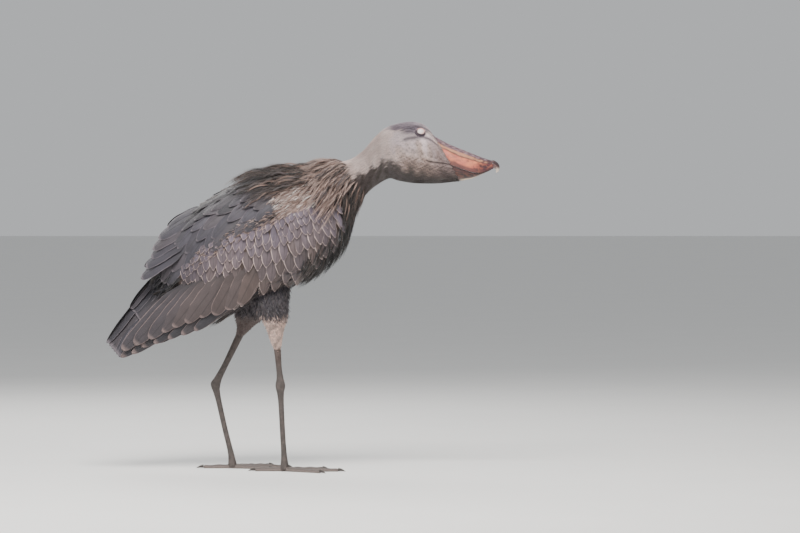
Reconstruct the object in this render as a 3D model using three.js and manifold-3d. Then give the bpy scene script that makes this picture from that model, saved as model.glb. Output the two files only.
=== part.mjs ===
// A shoebill that leans forward with its neck stretched out, as a still, life-size model.
// Millimetres, +Z up. The bird faces +X, and its right side is towards -Y.
import * as THREE from "three";
import { mergeVertices } from "three/addons/utils/BufferGeometryUtils.js";
import Module from "manifold-3d";

const wasm = await Module();
wasm.setup();

// General sizes
const GAP = 0.3; // left between two pieces that meet
const RING_SPACE = 90; // usual distance between two rings of the body
const RIGHT = 1;
const LEFT = -1;
const SEED = 7;
const rad = THREE.MathUtils.degToRad;
const lerp = THREE.MathUtils.lerp;
const clamp = THREE.MathUtils.clamp;
const smooth = THREE.MathUtils.smoothstep;
const random = THREE.MathUtils.seededRandom;
const scatter = (by) => by * (2 * random() - 1);

// The trunk lies along a straight axis that rises towards the shoulders.
const BODY_PITCH = rad(30);
const BODY_MIDDLE = { x: -85, z: 666 };

// Rings of the trunk: place along the axis, height of back and belly from it, half width
const TRUNK = [
  { along: -345, back: 60, belly: -70, half: 45 },
  { along: -290, back: 106, belly: -116, half: 88 },
  { along: -220, back: 139, belly: -132, half: 118 },
  { along: -140, back: 158, belly: -138, half: 138 },
  { along: -50, back: 163, belly: -148, half: 148 },
  { along: 40, back: 155, belly: -152, half: 146 },
  { along: 110, back: 134, belly: -140, half: 132 },
  { along: 170, back: 108, belly: -112, half: 108 },
];

// Tilted rings of neck and head: top and underside as x and z, half width, and the powers that
// square off the upper and the lower half of the section
const NECK = [
  { top: [60, 860], under: [150, 738], half: 70, square: [0.95, 0.95] },
  { top: [123, 867], under: [185, 780], half: 49, square: [1, 1] },
  { top: [165, 892], under: [215, 803], half: 42, square: [1, 1] },
  { top: [205, 936], under: [243, 816], half: 46, square: [0.95, 1] },
  { top: [240, 962], under: [268, 810], half: 53, square: [0.85, 0.95] },
];
const HEAD = [
  { top: [290, 974], under: [304, 804], half: 57, square: [0.74, 0.85] },
  { top: [328, 971], under: [342, 802], half: 58, square: [0.66, 0.8] },
  { top: [350, 957], under: [386, 803], half: 57, square: [0.66, 0.78] },
  { top: [367, 933], under: [436, 809], half: 53, square: [0.74, 0.78] },
];

// Ring numbers along the whole body, from rump to face
const RUMP = 0;
const NECK_BASE = 8.6;
const NAPE = 11.6;
const FACE = 16;

// Folded wing: a shell on each side, from the wrist back to the rump. Its upper edge is the ridge of
// the forearm, which climbs towards the rump and drops at the wrist.
const WING = { front: 7.35, rear: 0.85, thick: 15, proud: 6, ridge: rad(84), lower: rad(142) };
const RIDGE_CLIMB = { by: rad(14), from: 2.6, to: 4.4 };
const WRIST_DROP = { by: rad(22), from: 6.2, to: 7.35 };
const WRIST_RISE = { by: rad(8), from: 6.6 };

// Scapular shell: shoulder feathers over the back, above the wing's ridge
const SCAPULAR = { front: 5.15, rear: 0.5, thick: 6, proud: 5, upper: rad(9), clear: rad(4.5) };

// Rows of wing coverts: rings of the first and last root, how far below the ridge both lie, the way
// the feathers point (from 0, back, to a right angle, down), and the size of one feather
const COVERTS = [
  { count: 9, rings: [6.85, 2.15], below: [3, 3], heading: [64, 52], length: 60, width: 31 },
  { count: 9, rings: [6.6, 2.0], below: [13, 9], heading: [64, 52], length: 68, width: 32 },
  { count: 7, rings: [6.25, 1.75], below: [31, 22], heading: [64, 50], length: 80, width: 37 },
  { count: 6, rings: [6.0, 1.5], below: [46, 36], heading: [62, 46], length: 92, width: 45 },
];
const COVERT = { thick: 1.5, lift: 6.5, stiff: 0.3, roll: 6, scatter: 3 };

// Flight feathers: root rings and turns, then the line of their tips as x, distance aside and z
const SECONDARIES = {
  count: 6,
  rings: [3.5, 1.15],
  turns: [113, 90],
  tips: [[-172, 113, 470], [-345, 100, 414], [-502, 76, 336]],
  width: 56,
  thick: 2.2,
  arch: 10,
  facing: [0.25, 1, 0.15],
};
const PRIMARIES = {
  count: 4,
  rings: [2.9, 1.5],
  turns: [137, 124],
  tips: [[-318, 92, 392], [-420, 82, 354], [-512, 64, 319]],
  width: 38,
  thick: 2.2,
  arch: -4,
  facing: [0.25, 1, 0.05],
};
const TERTIALS = {
  count: 4,
  rings: [3.1, 1.9],
  turns: [19, 56],
  tips: [[-380, 34, 676], [-432, 46, 612], [-448, 60, 545]],
  width: 54,
  thick: 2,
  arch: 6,
  facing: [-0.35, 0.6, 0.75],
};

// Shoulder feathers in rows across the back
const SHOULDER = {
  rows: 3,
  perRow: 4,
  rings: [4.95, 2.6],
  upper: 15,
  heading: [3, 20],
  length: [108, 128],
  width: [46, 52],
  thick: 1.6,
  lift: [11, 6],
};

// One row down the middle of the back, between the shoulders
const BACK = { count: 6, rings: [4.95, 1.75], length: 92, width: 44, thick: 1.8, lift: 8 };

// Tapered locks of each side: mantle, ruff, throat side of the ruff, chest and vent
const LOCKS = [
  { count: 6, rings: [7.1, 5.8], turns: [6, 48], towards: [-1, 0.1, -0.4], length: 62, lift: 20 },
  { count: 6, rings: [8.35, 7.75], turns: [8, 72], towards: [-0.8, 0.2, -0.75], length: 66, lift: 17 },
  { count: 3, rings: [8.3, 8.05], turns: [146, 172], towards: [-0.55, 0, -1], length: 58, lift: 12 },
  { count: 4, rings: [7.75, 5.6], turns: [156, 172], towards: [-0.35, 0, -1], length: 52, lift: 10 },
  { count: 2, rings: [2.2, 1.0], turns: [154, 170], towards: [-1, 0, -0.75], length: 62, lift: 9 },
];
const LOCK_WIDTH = 20;

// The bill in stations from its feathered base to the tip: culmen, cutting edge and lower rim
const BILL = [
  { culmen: [410, 911], edge: [446, 842], rim: [455, 812], half: 51 },
  { culmen: [457, 892], edge: [480, 832], rim: [478, 818], half: 46 },
  { culmen: [503, 874], edge: [508, 834], rim: [503, 829], half: 34 },
  { culmen: [533, 865], edge: [532, 843], rim: [522, 838], half: 18 },
];
const BILL_ROOT_HALF = 51;
const MOUTH_GAP = 1; // between the closed edges of the bill
const MOUTH_SHARE = 0.63; // how far down the face plane the mouth opens
const LOWER_BILL = { length: 0.94, inset: 2.5 }; // against the upper part's length and half width
const NAIL = { root: [522, 856], bend: [561, 864], tip: [541, 832], half: 8.5 };
const NOSTRIL = { x: 386, z: 915, length: 12, height: 2.2, deep: 6, aside: 11 };

// Eyes
const EYE = { ring: 14, turn: rad(52.5), radius: 13.5, proud: 5, lid: 11.6, rim: 2.6 };

// The groove that carries the mouth's line into the cheek
const GAPE = { end: 14.3, turn: rad(99), depth: 3, height: 2 };
const Z_UP = new THREE.Vector3(0, 0, 1);

// Legs, as stations down each limb: centre, half depth fore and aft, half width
const LEG_RIGHT = {
  side: RIGHT,
  thigh: [
    { at: [-88, -40, 520], deep: 56, wide: 24 },
    { at: [-90, -57, 468], deep: 49, wide: 32 },
    { at: [-78, -63, 420], deep: 31, wide: 27 },
    { at: [-75, -67, 378], deep: 21, wide: 19 },
    { at: [-70, -69, 336], deep: 10.5, wide: 10 },
  ],
  shin: [
    { at: [-70, -69, 336], deep: 9.5, wide: 8.5 },
    { at: [-66, -69, 290], deep: 8, wide: 7.5 },
    { at: [-63, -68, 262], deep: 9.5, wide: 9 },
    { at: [-62, -68, 240], deep: 13.5, wide: 11.5 },
    { at: [-62, -68, 222], deep: 10.5, wide: 9.5 },
  ],
  tarsus: [
    { at: [-62, -68, 222], deep: 10, wide: 9 },
    { at: [-60, -67, 190], deep: 7.8, wide: 7 },
    { at: [-56, -65, 110], deep: 7.4, wide: 6.8 },
    { at: [-52, -63, 45], deep: 8.2, wide: 8.5 },
    { at: [-50, -62, 5], deep: 13, wide: 13 },
  ],
  foot: { at: [-50, -62], heading: -6 },
};
const LEG_LEFT = {
  side: LEFT,
  thigh: [
    { at: [-124, 40, 505], deep: 58, wide: 24 },
    { at: [-132, 56, 462], deep: 54, wide: 32 },
    { at: [-150, 63, 425], deep: 37, wide: 28 },
    { at: [-166, 67, 396], deep: 22, wide: 19 },
    { at: [-179, 69, 373], deep: 12.5, wide: 11.5 },
  ],
  shin: [
    { at: [-179, 69, 373], deep: 11.5, wide: 9 },
    { at: [-216, 69, 300], deep: 9.5, wide: 7.8 },
    { at: [-237, 68, 260], deep: 11, wide: 9 },
    { at: [-247, 68, 240], deep: 14, wide: 11.5 },
    { at: [-247, 68, 222], deep: 11, wide: 9.5 },
  ],
  tarsus: [
    { at: [-247, 68, 222], deep: 10.5, wide: 9 },
    { at: [-239, 67, 190], deep: 8, wide: 7 },
    { at: [-221, 65, 110], deep: 7.6, wide: 6.8 },
    { at: [-205, 63, 45], deep: 8.4, wide: 8.5 },
    { at: [-199, 62, 5], deep: 13, wide: 13 },
  ],
  foot: { at: [-199, 62], heading: 5 },
};

// Toes: direction from the middle toe, outwards positive, length, and thickness at root and end
const TOES = [
  { name: "inner_toe", turn: -33, length: 118, root: 7.6, end: 5.2, joints: 3 },
  { name: "middle_toe", turn: 0, length: 150, root: 8.2, end: 5.4, joints: 4 },
  { name: "outer_toe", turn: 33, length: 128, root: 7.6, end: 5.2, joints: 4 },
  { name: "hind_toe", turn: 176, length: 82, root: 7.4, end: 5.4, joints: 2 },
];
const TOE_STUB = 30; // of each toe, held by the foot's own pad
const TOE_SEAT = 0.62; // height of a toe's middle off the floor, as a share of its radius
const TOE_PADS = 0.13; // swelling at each joint
const CLAW = { length: 21, half: 4.2, arch: 5.5, seat: 0.4, clear: 0.2 };

// Tail: rectrices on an arched plug. The arch drops from its middle to its sides.
const TAIL = {
  pairs: 4,
  ridgeRoot: [-404, 540],
  ridgeTip: [-547, 354],
  rootAside: 30,
  tipAside: 54,
  rootDrop: [22, -34],
  tipDrop: [32, -34],
  width: 40,
  thick: 2,
  layer: 2.4,
};
const TAIL_PLUG = { height: 14, up: 38, half: 34, end: [-458, 452], endUp: 9, endHalf: 38, arch: 24 };

// Colours
const finish = (color, roughness = 0.85) => new THREE.MeshStandardMaterial({ color, roughness });
const SLATE = finish("#5d6068");
const DUN = finish("#756c6e");
const PALE = finish("#a2938e");
const DARK = finish("#3f3c40");
const HORN = finish("#a58376", 0.5);
const CLAW_HORN = finish("#35302e", 0.45);
const MEMBRANE = finish("#d9cfc9", 0.25);
const SCALED = finish("#5a5052", 0.7);

// Turns a three.js geometry into a solid, whichever way its faces were wound.
function solid(geometry) {
  const g = geometry.clone();
  g.deleteAttribute("normal");
  g.deleteAttribute("uv");
  const merged = mergeVertices(g, 1e-3);
  const make = (triVerts) =>
    new wasm.Manifold(
      new wasm.Mesh({ numProp: 3, vertProperties: merged.attributes.position.array, triVerts }),
    );
  const made = make(new Uint32Array(merged.index.array));
  if (made.volume() > 0) return made;
  const turned = new Uint32Array(merged.index.array);
  for (let i = 0; i < turned.length; i += 3) {
    [turned[i + 1], turned[i + 2]] = [turned[i + 2], turned[i + 1]];
  }
  return make(turned);
}

// The largest closed surface of a solid, without scraps or sealed hollows
function largest(made) {
  return made.decompose().reduce((best, body) => (body.volume() > best.volume() ? body : best));
}

function join(solids) {
  return solids.reduce((whole, piece) => whole.add(piece));
}

const model = new THREE.Group();

function place(name, made, material) {
  const mesh = largest(made).getMesh();
  const positions = new Float32Array(mesh.numVert * 3);
  for (let i = 0; i < mesh.numVert; i++) {
    positions.set(mesh.vertProperties.subarray(i * mesh.numProp, i * mesh.numProp + 3), i * 3);
  }
  const geometry = new THREE.BufferGeometry()
    .setAttribute("position", new THREE.BufferAttribute(positions, 3))
    .setIndex(new THREE.BufferAttribute(mesh.triVerts, 1));
  geometry.computeVertexNormals();
  const node = new THREE.Mesh(geometry, material);
  node.name = name;
  model.add(node);
}

// Moves every vertex of a geometry by a function of its place.
function shaped(geometry, place) {
  const position = geometry.attributes.position;
  const v = new THREE.Vector3();
  for (let i = 0; i < position.count; i++) {
    v.fromBufferAttribute(position, i);
    place(v);
    position.setXYZ(i, v.x, v.y, v.z);
  }
  return geometry;
}

// A power of a number that keeps its sign, which squares off a round section
const bent = (value, power) => Math.sign(value) * Math.abs(value) ** power;

// The x and z of a point beside the trunk's axis
function beside(along, height) {
  const c = Math.cos(BODY_PITCH);
  const s = Math.sin(BODY_PITCH);
  return [BODY_MIDDLE.x + along * c - height * s, BODY_MIDDLE.z + along * s + height * c];
}

// The outer form of rump, trunk, neck and head: one smooth tube through all the rings
const RINGS = [
  ...TRUNK.map(({ along, back, belly, half }) => ({
    top: beside(along, back),
    under: beside(along, belly),
    half,
    square: [0.86, 0.86],
  })),
  ...NECK,
  ...HEAD,
];
const curve = (points) =>
  new THREE.CatmullRomCurve3(points.map((p) => new THREE.Vector3(...p)), false, "catmullrom", 0.5);
const TOP = curve(RINGS.map(({ top: [x, z] }) => [x, 0, z]));
const UNDER = curve(RINGS.map(({ under: [x, z] }) => [x, 0, z]));
const BREADTH = curve(RINGS.map(({ half, square: [upper, lower] }) => [half, upper, lower]));

const onCurve = (path, ring) => path.getPoint(clamp(ring / (RINGS.length - 1), 0, 1));
const middleOf = (ring) => onCurve(TOP, ring).add(onCurve(UNDER, ring)).multiplyScalar(0.5);

// A point of the body's outer form. The turn runs from 0 on top down the right side to pi beneath.
function bodyPoint(ring, turn, out = 0) {
  const top = onCurve(TOP, ring);
  const under = onCurve(UNDER, ring);
  const { x: half, y: upper, z: lower } = onCurve(BREADTH, ring);
  const power = Math.cos(turn) > 0 ? upper : lower;
  const middle = top.clone().add(under).multiplyScalar(0.5);
  const up = top.sub(under).multiplyScalar(0.5);
  const point = middle.addScaledVector(up, bent(Math.cos(turn), power));
  point.y -= half * bent(Math.sin(turn), power);
  return out ? point.addScaledVector(bodyNormal(ring, turn), out) : point;
}

function bodyNormal(ring, turn) {
  const step = 0.04;
  const along = bodyPoint(ring + step, turn).sub(bodyPoint(ring - step, turn));
  const round = bodyPoint(ring, turn + step).sub(bodyPoint(ring, turn - step));
  const normal = round.cross(along).normalize();
  const outwards = bodyPoint(ring, turn).sub(middleOf(ring));
  return normal.dot(outwards) < 0 ? normal.negate() : normal;
}

// A closed stretch of the body's form between two rings, sunk or raised by a function
function bodyStretch(from, to, rings, sides, out = () => 0) {
  const tube = new THREE.CylinderGeometry(1, 1, 1, sides, rings);
  return solid(
    shaped(tube, (v) => {
      const ring = lerp(from, to, v.y + 0.5);
      const turn = Math.atan2(v.x, v.z);
      const centre = Math.hypot(v.x, v.z) < 0.5;
      v.copy(centre ? middleOf(ring) : bodyPoint(ring, turn, out(ring, Math.abs(turn))));
    }),
  );
}

// How far the trunk gives way under a wing or shoulder shell
const within = (value, low, high, soft) =>
  smooth(value, low, low + soft) * (1 - smooth(value, high - soft, high));

const wingUpper = (ring) =>
  WING.ridge -
  RIDGE_CLIMB.by * (1 - smooth(ring, RIDGE_CLIMB.from, RIDGE_CLIMB.to)) +
  WRIST_DROP.by * smooth(ring, WRIST_DROP.from, WRIST_DROP.to);
const wingLower = (ring) => WING.lower - WRIST_RISE.by * smooth(ring, WRIST_RISE.from, WING.front);
const shoulderLower = (ring) => wingUpper(ring) - SCAPULAR.clear;

function trunkHollow(ring, turn) {
  const wing =
    within(ring, WING.rear, WING.front, 0.5) *
    within(turn, wingUpper(ring), wingLower(ring), rad(10));
  const shoulder =
    within(ring, SCAPULAR.rear, SCAPULAR.front, 0.5) *
    within(turn, SCAPULAR.upper, shoulderLower(ring), rad(10));
  return Math.max(wing * WING.thick, shoulder * SCAPULAR.thick);
}

// A closed plate that lies on the trunk between four edges, for one side
function shell(side, size, upper, lower, rows, columns) {
  const sunk = 4;
  const plate = new THREE.BoxGeometry(1, 1, 1, rows, columns, 1);
  return solid(
    shaped(plate, (v) => {
      const ring = lerp(size.front, size.rear, v.x + 0.5);
      const turn = lerp(upper(ring), lower(ring), v.y + 0.5);
      const edge = Math.min(0.5 - Math.abs(v.x), 0.5 - Math.abs(v.y));
      const proud = size.proud * (0.55 + 0.45 * smooth(edge, 0, 0.2));
      const out = v.z > 0 ? proud : -sunk - trunkHollow(ring, turn);
      v.copy(bodyPoint(ring, side * turn, out));
    }),
  );
}

// The faces of a four-sided cone, split along the same diagonals above and below
function splitAlike(cone, segments) {
  const index = cone.index.array;
  const perSide = 2 * segments - 1;
  for (const strip of [1, 3]) {
    for (let row = 1; row < segments; row++) {
      const at = 3 * (strip * perSide + 2 * row - 1);
      const [a, b, d] = [index[at], index[at + 1], index[at + 2]];
      const c = index[at + 4];
      index.set([a, b, c, a, c, d], at);
    }
  }
  return cone;
}

// A feather or lock: a thin body of diamond section along a spine, with a rounded or pointed tip
function vane({ spine, width, thick, roll = 0, segments = 4, tip = 4, root = 0.5, fine = 0.6 }) {
  const cone = splitAlike(new THREE.ConeGeometry(1, 1, 4, segments), segments);
  return solid(
    shaped(cone, (v) => {
      const share = v.y + 0.5;
      const radius = Math.max(1 - share, 1e-9);
      const [across, through] = [v.x / radius, v.z / radius];
      const along = 1 - (1 - share) ** 1.5;
      const { point, side, normal } = spine(along);
      v.copy(point);
      if (share > 1 - 1e-6) return;
      const wide = 0.5 * width * Math.min(1, root + 1.3 * along) * (1 - along ** tip) ** 0.6;
      const deep = 0.5 * thick * (1 - fine * along);
      const edge = side.clone().applyAxisAngle(side.clone().cross(normal), roll);
      v.addScaledVector(edge, wide * across).addScaledVector(normal, deep * through);
    }),
  );
}

// A spine through a root and a tip, drawn to a bend, with its flat side facing a given way
function bow(root, bend, tip, facing) {
  const path = new THREE.QuadraticBezierCurve3(root, bend, tip);
  return (share) => {
    const tangent = path.getTangent(clamp(share, 0.02, 0.98));
    const side = tangent.clone().cross(facing).normalize();
    return { point: path.getPoint(share), side, normal: side.clone().cross(tangent).normalize() };
  };
}

// The ring and turn reached on the trunk after a distance in a heading
function walk(ring, turn, heading, distance) {
  const step = 0.05;
  const along = bodyPoint(ring + step, turn).distanceTo(bodyPoint(ring - step, turn));
  const round = bodyPoint(ring, turn + step).distanceTo(bodyPoint(ring, turn - step));
  const share = 2 * step * distance;
  return [ring - (share * Math.cos(heading)) / along, turn + (share * Math.sin(heading)) / round];
}

// The spine of a feather that follows the trunk, raised by a base and then lifted towards its tip
function laid(side, { ring, turn, heading, length, base, lift, stiff, sunk = 3.5 }) {
  const [midRing, midTurn] = walk(ring, turn, heading, length / 2);
  const [endRing, endTurn] = walk(midRing, midTurn, heading, length / 2);
  const root = bodyPoint(ring, side * turn, base - sunk);
  const middle = bodyPoint(midRing, side * midTurn, base + 0.35 * lift);
  const straight = middle.clone().multiplyScalar(2).sub(root);
  const tip = bodyPoint(endRing, side * endTurn, base + lift).lerp(straight, stiff);
  const bend = middle.clone().multiplyScalar(2).addScaledVector(root.clone().add(tip), -0.5);
  return bow(root, bend, tip, bodyNormal(midRing, side * midTurn));
}

// A lock that leaves the trunk and hangs or lies in a given direction
function lock(side, { ring, turn, towards, length, width, lift, thick = 2.4, sunk = 5, sag = 0.12 }) {
  const normal = bodyNormal(ring, side * turn);
  const lie = new THREE.Vector3(towards[0], -side * towards[1], towards[2]);
  lie.addScaledVector(normal, -lie.dot(normal)).normalize();
  const root = bodyPoint(ring, side * turn, -sunk);
  const bend = root.clone().addScaledVector(lie, 0.5 * length).addScaledVector(normal, sunk + lift);
  const tip = root.clone().addScaledVector(lie, length).addScaledVector(normal, sunk + 0.7 * lift);
  tip.z -= sag * length;
  const spine = bow(root, bend, tip, normal);
  return vane({ spine, width, thick, segments: 3, tip: 1.5, root: 0.7, roll: scatter(0.35) });
}

// Torso, neck and head
const torso = bodyStretch(RUMP, NECK_BASE, 18, 20, (ring, turn) => -trunkHollow(ring, turn));
const ringGap = GAP / 2 / RING_SPACE; // half a gap, as a share of the space between rings
const neck = bodyStretch(NECK_BASE + ringGap, NAPE - ringGap, 6, 20);
const skull = bodyStretch(NAPE + ringGap, FACE, 10, 20);

// Where an eye looks out of the head, and the way it faces
function eyeSeat(side) {
  const surface = bodyPoint(EYE.ring, side * EYE.turn);
  const facing = bodyNormal(EYE.ring, side * EYE.turn);
  return { centre: surface.addScaledVector(facing, EYE.proud - EYE.radius), facing };
}

function ball(radius, centre) {
  return solid(new THREE.SphereGeometry(radius, 12, 6).translate(centre.x, centre.y, centre.z));
}

function lidRing({ centre, facing }) {
  const ring = new THREE.TorusGeometry(EYE.lid, EYE.rim, 4, 12);
  ring.applyQuaternion(new THREE.Quaternion().setFromUnitVectors(new THREE.Vector3(0, 0, 1), facing));
  const seat = centre.clone().addScaledVector(facing, EYE.radius - EYE.proud - 0.6);
  return solid(ring.translate(seat.x, seat.y, seat.z));
}

// The line of the mouth runs on from the bill as a groove in the cheek.
function gape(side) {
  const [from, to] = [bodyPoint(FACE, side * GAPE.turn), bodyPoint(GAPE.end, side * GAPE.turn)];
  from.x += 4;
  const spine = bow(from, bodyPoint((FACE + GAPE.end) / 2, side * GAPE.turn), to, Z_UP);
  return vane({ spine, width: 2 * GAPE.depth, thick: GAPE.height, root: 1, tip: 3 });
}

let head = skull;
for (const side of [RIGHT, LEFT]) {
  const seat = eyeSeat(side);
  head = head.add(lidRing(seat)).subtract(ball(EYE.radius + GAP, seat.centre)).subtract(gape(side));
  place(side === RIGHT ? "eye_right" : "eye_left", ball(EYE.radius, seat.centre), MEMBRANE);
}

// Bill: both mandibles are arches about the cutting edge, and start on the slanted face plane
const [FACE_TOP, FACE_UNDER] = [TOP.getPoint(1), UNDER.getPoint(1)];
const FACE_OUT = new THREE.Vector3(FACE_TOP.z - FACE_UNDER.z, 0, FACE_UNDER.x - FACE_TOP.x).normalize();
const facePoint = (share) => FACE_TOP.clone().lerp(FACE_UNDER, share).addScaledVector(FACE_OUT, GAP);
const billCurve = (key, share) =>
  curve([facePoint(share).toArray(), ...BILL.map((station) => [station[key][0], 0, station[key][1]])]);
const CULMEN = billCurve("culmen", 0);
const EDGE = billCurve("edge", MOUTH_SHARE);
const RIM = billCurve("rim", 1);
const BILL_HALF = curve([BILL_ROOT_HALF, ...BILL.map(({ half }) => half)].map((half) => [half, 0, 0]));

function mandible(crest, length, inset, ridge = () => 0) {
  const tube = new THREE.CylinderGeometry(1, 1, 1, 18, 8);
  return solid(
    shaped(tube, (v) => {
      const share = length * (v.y + 0.5);
      const turn = Math.atan2(v.x, v.z);
      const centre = Math.hypot(v.x, v.z) < 0.5;
      const edge = EDGE.getPoint(share);
      const rise = crest.getPoint(share).sub(edge);
      const arch = centre ? 0.3 : Math.max(0, Math.cos(turn)) ** 0.8;
      const height = rise.length() + ridge(turn, share);
      const half = BILL_HALF.getPoint(share).x - inset;
      v.copy(edge).addScaledVector(rise.normalize(), lerp(MOUTH_GAP / 2, height, arch));
      v.y = centre ? 0 : -half * bent(Math.sin(turn), 0.8);
    }),
  );
}

// A round horn along a spine, tapering to its tip
function horn(spine, radius, power = 0.8) {
  const cone = new THREE.ConeGeometry(1, 1, 10, 5);
  return solid(
    shaped(cone, (v) => {
      const share = v.y + 0.5;
      const size = share < 1 ? radius * (1 - share) ** (power - 1) : 0;
      const [across, through] = [size * v.x, size * v.z];
      const { point, side, normal } = spine(share);
      v.copy(point).addScaledVector(side, across).addScaledVector(normal, through);
    }),
  );
}

// A ridge along the culmen with a groove on each side of it
const culmenRidge = (turn, share) => 1.6 * Math.cos(clamp(6 * turn, -Math.PI, Math.PI)) * (1 - share);
const nail = horn(
  bow(
    new THREE.Vector3(NAIL.root[0], 0, NAIL.root[1]),
    new THREE.Vector3(NAIL.bend[0], 0, NAIL.bend[1]),
    new THREE.Vector3(NAIL.tip[0], 0, NAIL.tip[1]),
    new THREE.Vector3(0, 1, 0),
  ),
  NAIL.half,
);
const [culmenX, culmenZ] = BILL[0].culmen;
const slot = (side) =>
  solid(
    new THREE.SphereGeometry(1, 10, 6)
      .scale(NOSTRIL.length, NOSTRIL.deep, NOSTRIL.height)
      .rotateY(Math.atan2(FACE_TOP.z - culmenZ, culmenX - FACE_TOP.x))
      .translate(NOSTRIL.x, -side * NOSTRIL.aside, NOSTRIL.z),
  );
place(
  "bill_upper",
  mandible(CULMEN, 1, 0, culmenRidge).add(nail).subtract(slot(RIGHT)).subtract(slot(LEFT)),
  HORN,
);
place("bill_lower", mandible(RIM, LOWER_BILL.length, LOWER_BILL.inset), HORN);
place("head", head, PALE);
place("neck", neck, PALE);

// Legs
function limb(stations, sides, rings) {
  const centres = curve(stations.map(({ at }) => at));
  const sizes = curve(stations.map(({ deep, wide }) => [deep, wide, 0]));
  const tube = new THREE.CylinderGeometry(1, 1, 1, sides, rings);
  return solid(
    shaped(tube, (v) => {
      const share = 0.5 - v.y;
      const centre = centres.getPoint(share);
      const { x: deep, y: wide } = sizes.getPoint(share);
      v.set(centre.x + deep * v.x, centre.y + wide * v.z, Math.max(centre.z, 0));
    }),
  );
}

// A stretch of toe along the floor, flat beneath, with a swelling at each joint
function toeStretch(foot, side, toe, from, to, ends = 1) {
  const heading = rad(foot.heading - side * toe.turn);
  const rows = Math.max(2, Math.round((to - from) / 16));
  const tube = new THREE.CylinderGeometry(1, 1, 1, 6, rows, false, Math.PI / 6);
  return solid(
    shaped(tube, (v) => {
      const along = lerp(from, to, v.y + 0.5);
      const share = along / toe.length;
      const swell = 1 + TOE_PADS * Math.cos(2 * Math.PI * toe.joints * share) * (from > 0 ? 1 : 0);
      const radius = lerp(toe.root, toe.end, share) * swell * ends;
      const across = radius * v.x;
      const z = Math.max(0, radius * (TOE_SEAT + v.z));
      v.set(
        foot.at[0] + along * Math.cos(heading) - across * Math.sin(heading),
        foot.at[1] + along * Math.sin(heading) + across * Math.cos(heading),
        z,
      );
    }),
  );
}

function claw(foot, side, toe) {
  const heading = rad(foot.heading - side * toe.turn);
  const cone = new THREE.ConeGeometry(1, 1, 6, 3);
  return solid(
    shaped(cone, (v) => {
      const share = v.y + 0.5;
      const along = toe.length + GAP + CLAW.length * share;
      const across = CLAW.half * v.x;
      const rise = CLAW.arch * (1 - share * share) + CLAW.seat;
      const z = Math.max(CLAW.clear, rise + CLAW.half * 1.1 * v.z);
      v.set(
        foot.at[0] + along * Math.cos(heading) - across * Math.sin(heading),
        foot.at[1] + along * Math.sin(heading) + across * Math.cos(heading),
        z,
      );
    }),
  );
}

const body = bodyStretch(RUMP, NECK_BASE, 18, 20, (ring, turn) => GAP - trunkHollow(ring, turn));
for (const leg of [LEG_RIGHT, LEG_LEFT]) {
  const name = leg.side === RIGHT ? "right" : "left";
  const shin = leg.shin.map((s, i) => (i ? s : { ...s, at: [s.at[0], s.at[1], s.at[2] - GAP] }));
  const tarsus = leg.tarsus.map((s, i) => (i ? s : { ...s, at: [s.at[0], s.at[1], s.at[2] - GAP] }));
  place("thigh_" + name, limb(leg.thigh, 14, 7).subtract(body), DARK);
  place("shin_" + name, limb(shin, 10, 7), SCALED);
  const stubs = TOES.map((toe) => toeStretch(leg.foot, leg.side, toe, 0, TOE_STUB));
  place("tarsus_" + name, join([limb(tarsus, 10, 7), ...stubs]), SCALED);
  for (const toe of TOES) {
    const tube = toeStretch(leg.foot, leg.side, toe, TOE_STUB + GAP, toe.length);
    place(toe.name + "_" + name, tube, SCALED);
    place(toe.name.replace("toe", "claw") + "_" + name, claw(leg.foot, leg.side, toe), CLAW_HORN);
  }
}

// Wings
const mirrored = (side, [x, aside, z]) => new THREE.Vector3(x, -side * aside, z);

function coverts(side) {
  return COVERTS.flatMap(({ count, rings, below, heading, length, width }, row) =>
    Array.from({ length: count }, (_, i) => {
      const share = (i + 0.5 * (row % 2)) / count;
      const ring = lerp(rings[0], rings[1], share);
      const place = {
        ring,
        turn: wingUpper(ring) + rad(lerp(below[0], below[1], share)),
        heading: rad(lerp(heading[0], heading[1], share) + scatter(COVERT.scatter)),
        length: length * (1 + scatter(0.06)),
        base: WING.proud,
        lift: COVERT.lift,
        stiff: COVERT.stiff,
      };
      const roll = side * rad(COVERT.roll);
      return vane({ spine: laid(side, place), width, thick: COVERT.thick, roll, segments: 3 });
    }),
  );
}

// Long feathers in a fan: roots in a line on the trunk, tips along a curve in the air
function fan(side, { count, rings, turns, tips, width, thick, arch, facing }, base) {
  const tipLine = new THREE.QuadraticBezierCurve3(...tips.map((tip) => mirrored(side, tip)));
  return Array.from({ length: count }, (_, i) => {
    const share = i / (count - 1);
    const [ring, turn] = [lerp(rings[0], rings[1], share), rad(lerp(turns[0], turns[1], share))];
    const root = bodyPoint(ring, side * turn, base - 4);
    const tip = tipLine.getPoint(share);
    const bend = root.clone().lerp(tip, 0.45).addScaledVector(bodyNormal(ring, side * turn), arch);
    const spine = bow(root, bend, tip, mirrored(side, facing).normalize());
    return vane({ spine, width, thick, roll: side * rad(4), tip: 6 });
  });
}

const wingShell = (side) => shell(side, WING, wingUpper, wingLower, 12, 5);
const shoulderShell = (side) => shell(side, SCAPULAR, () => SCAPULAR.upper, shoulderLower, 8, 4);

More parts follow.
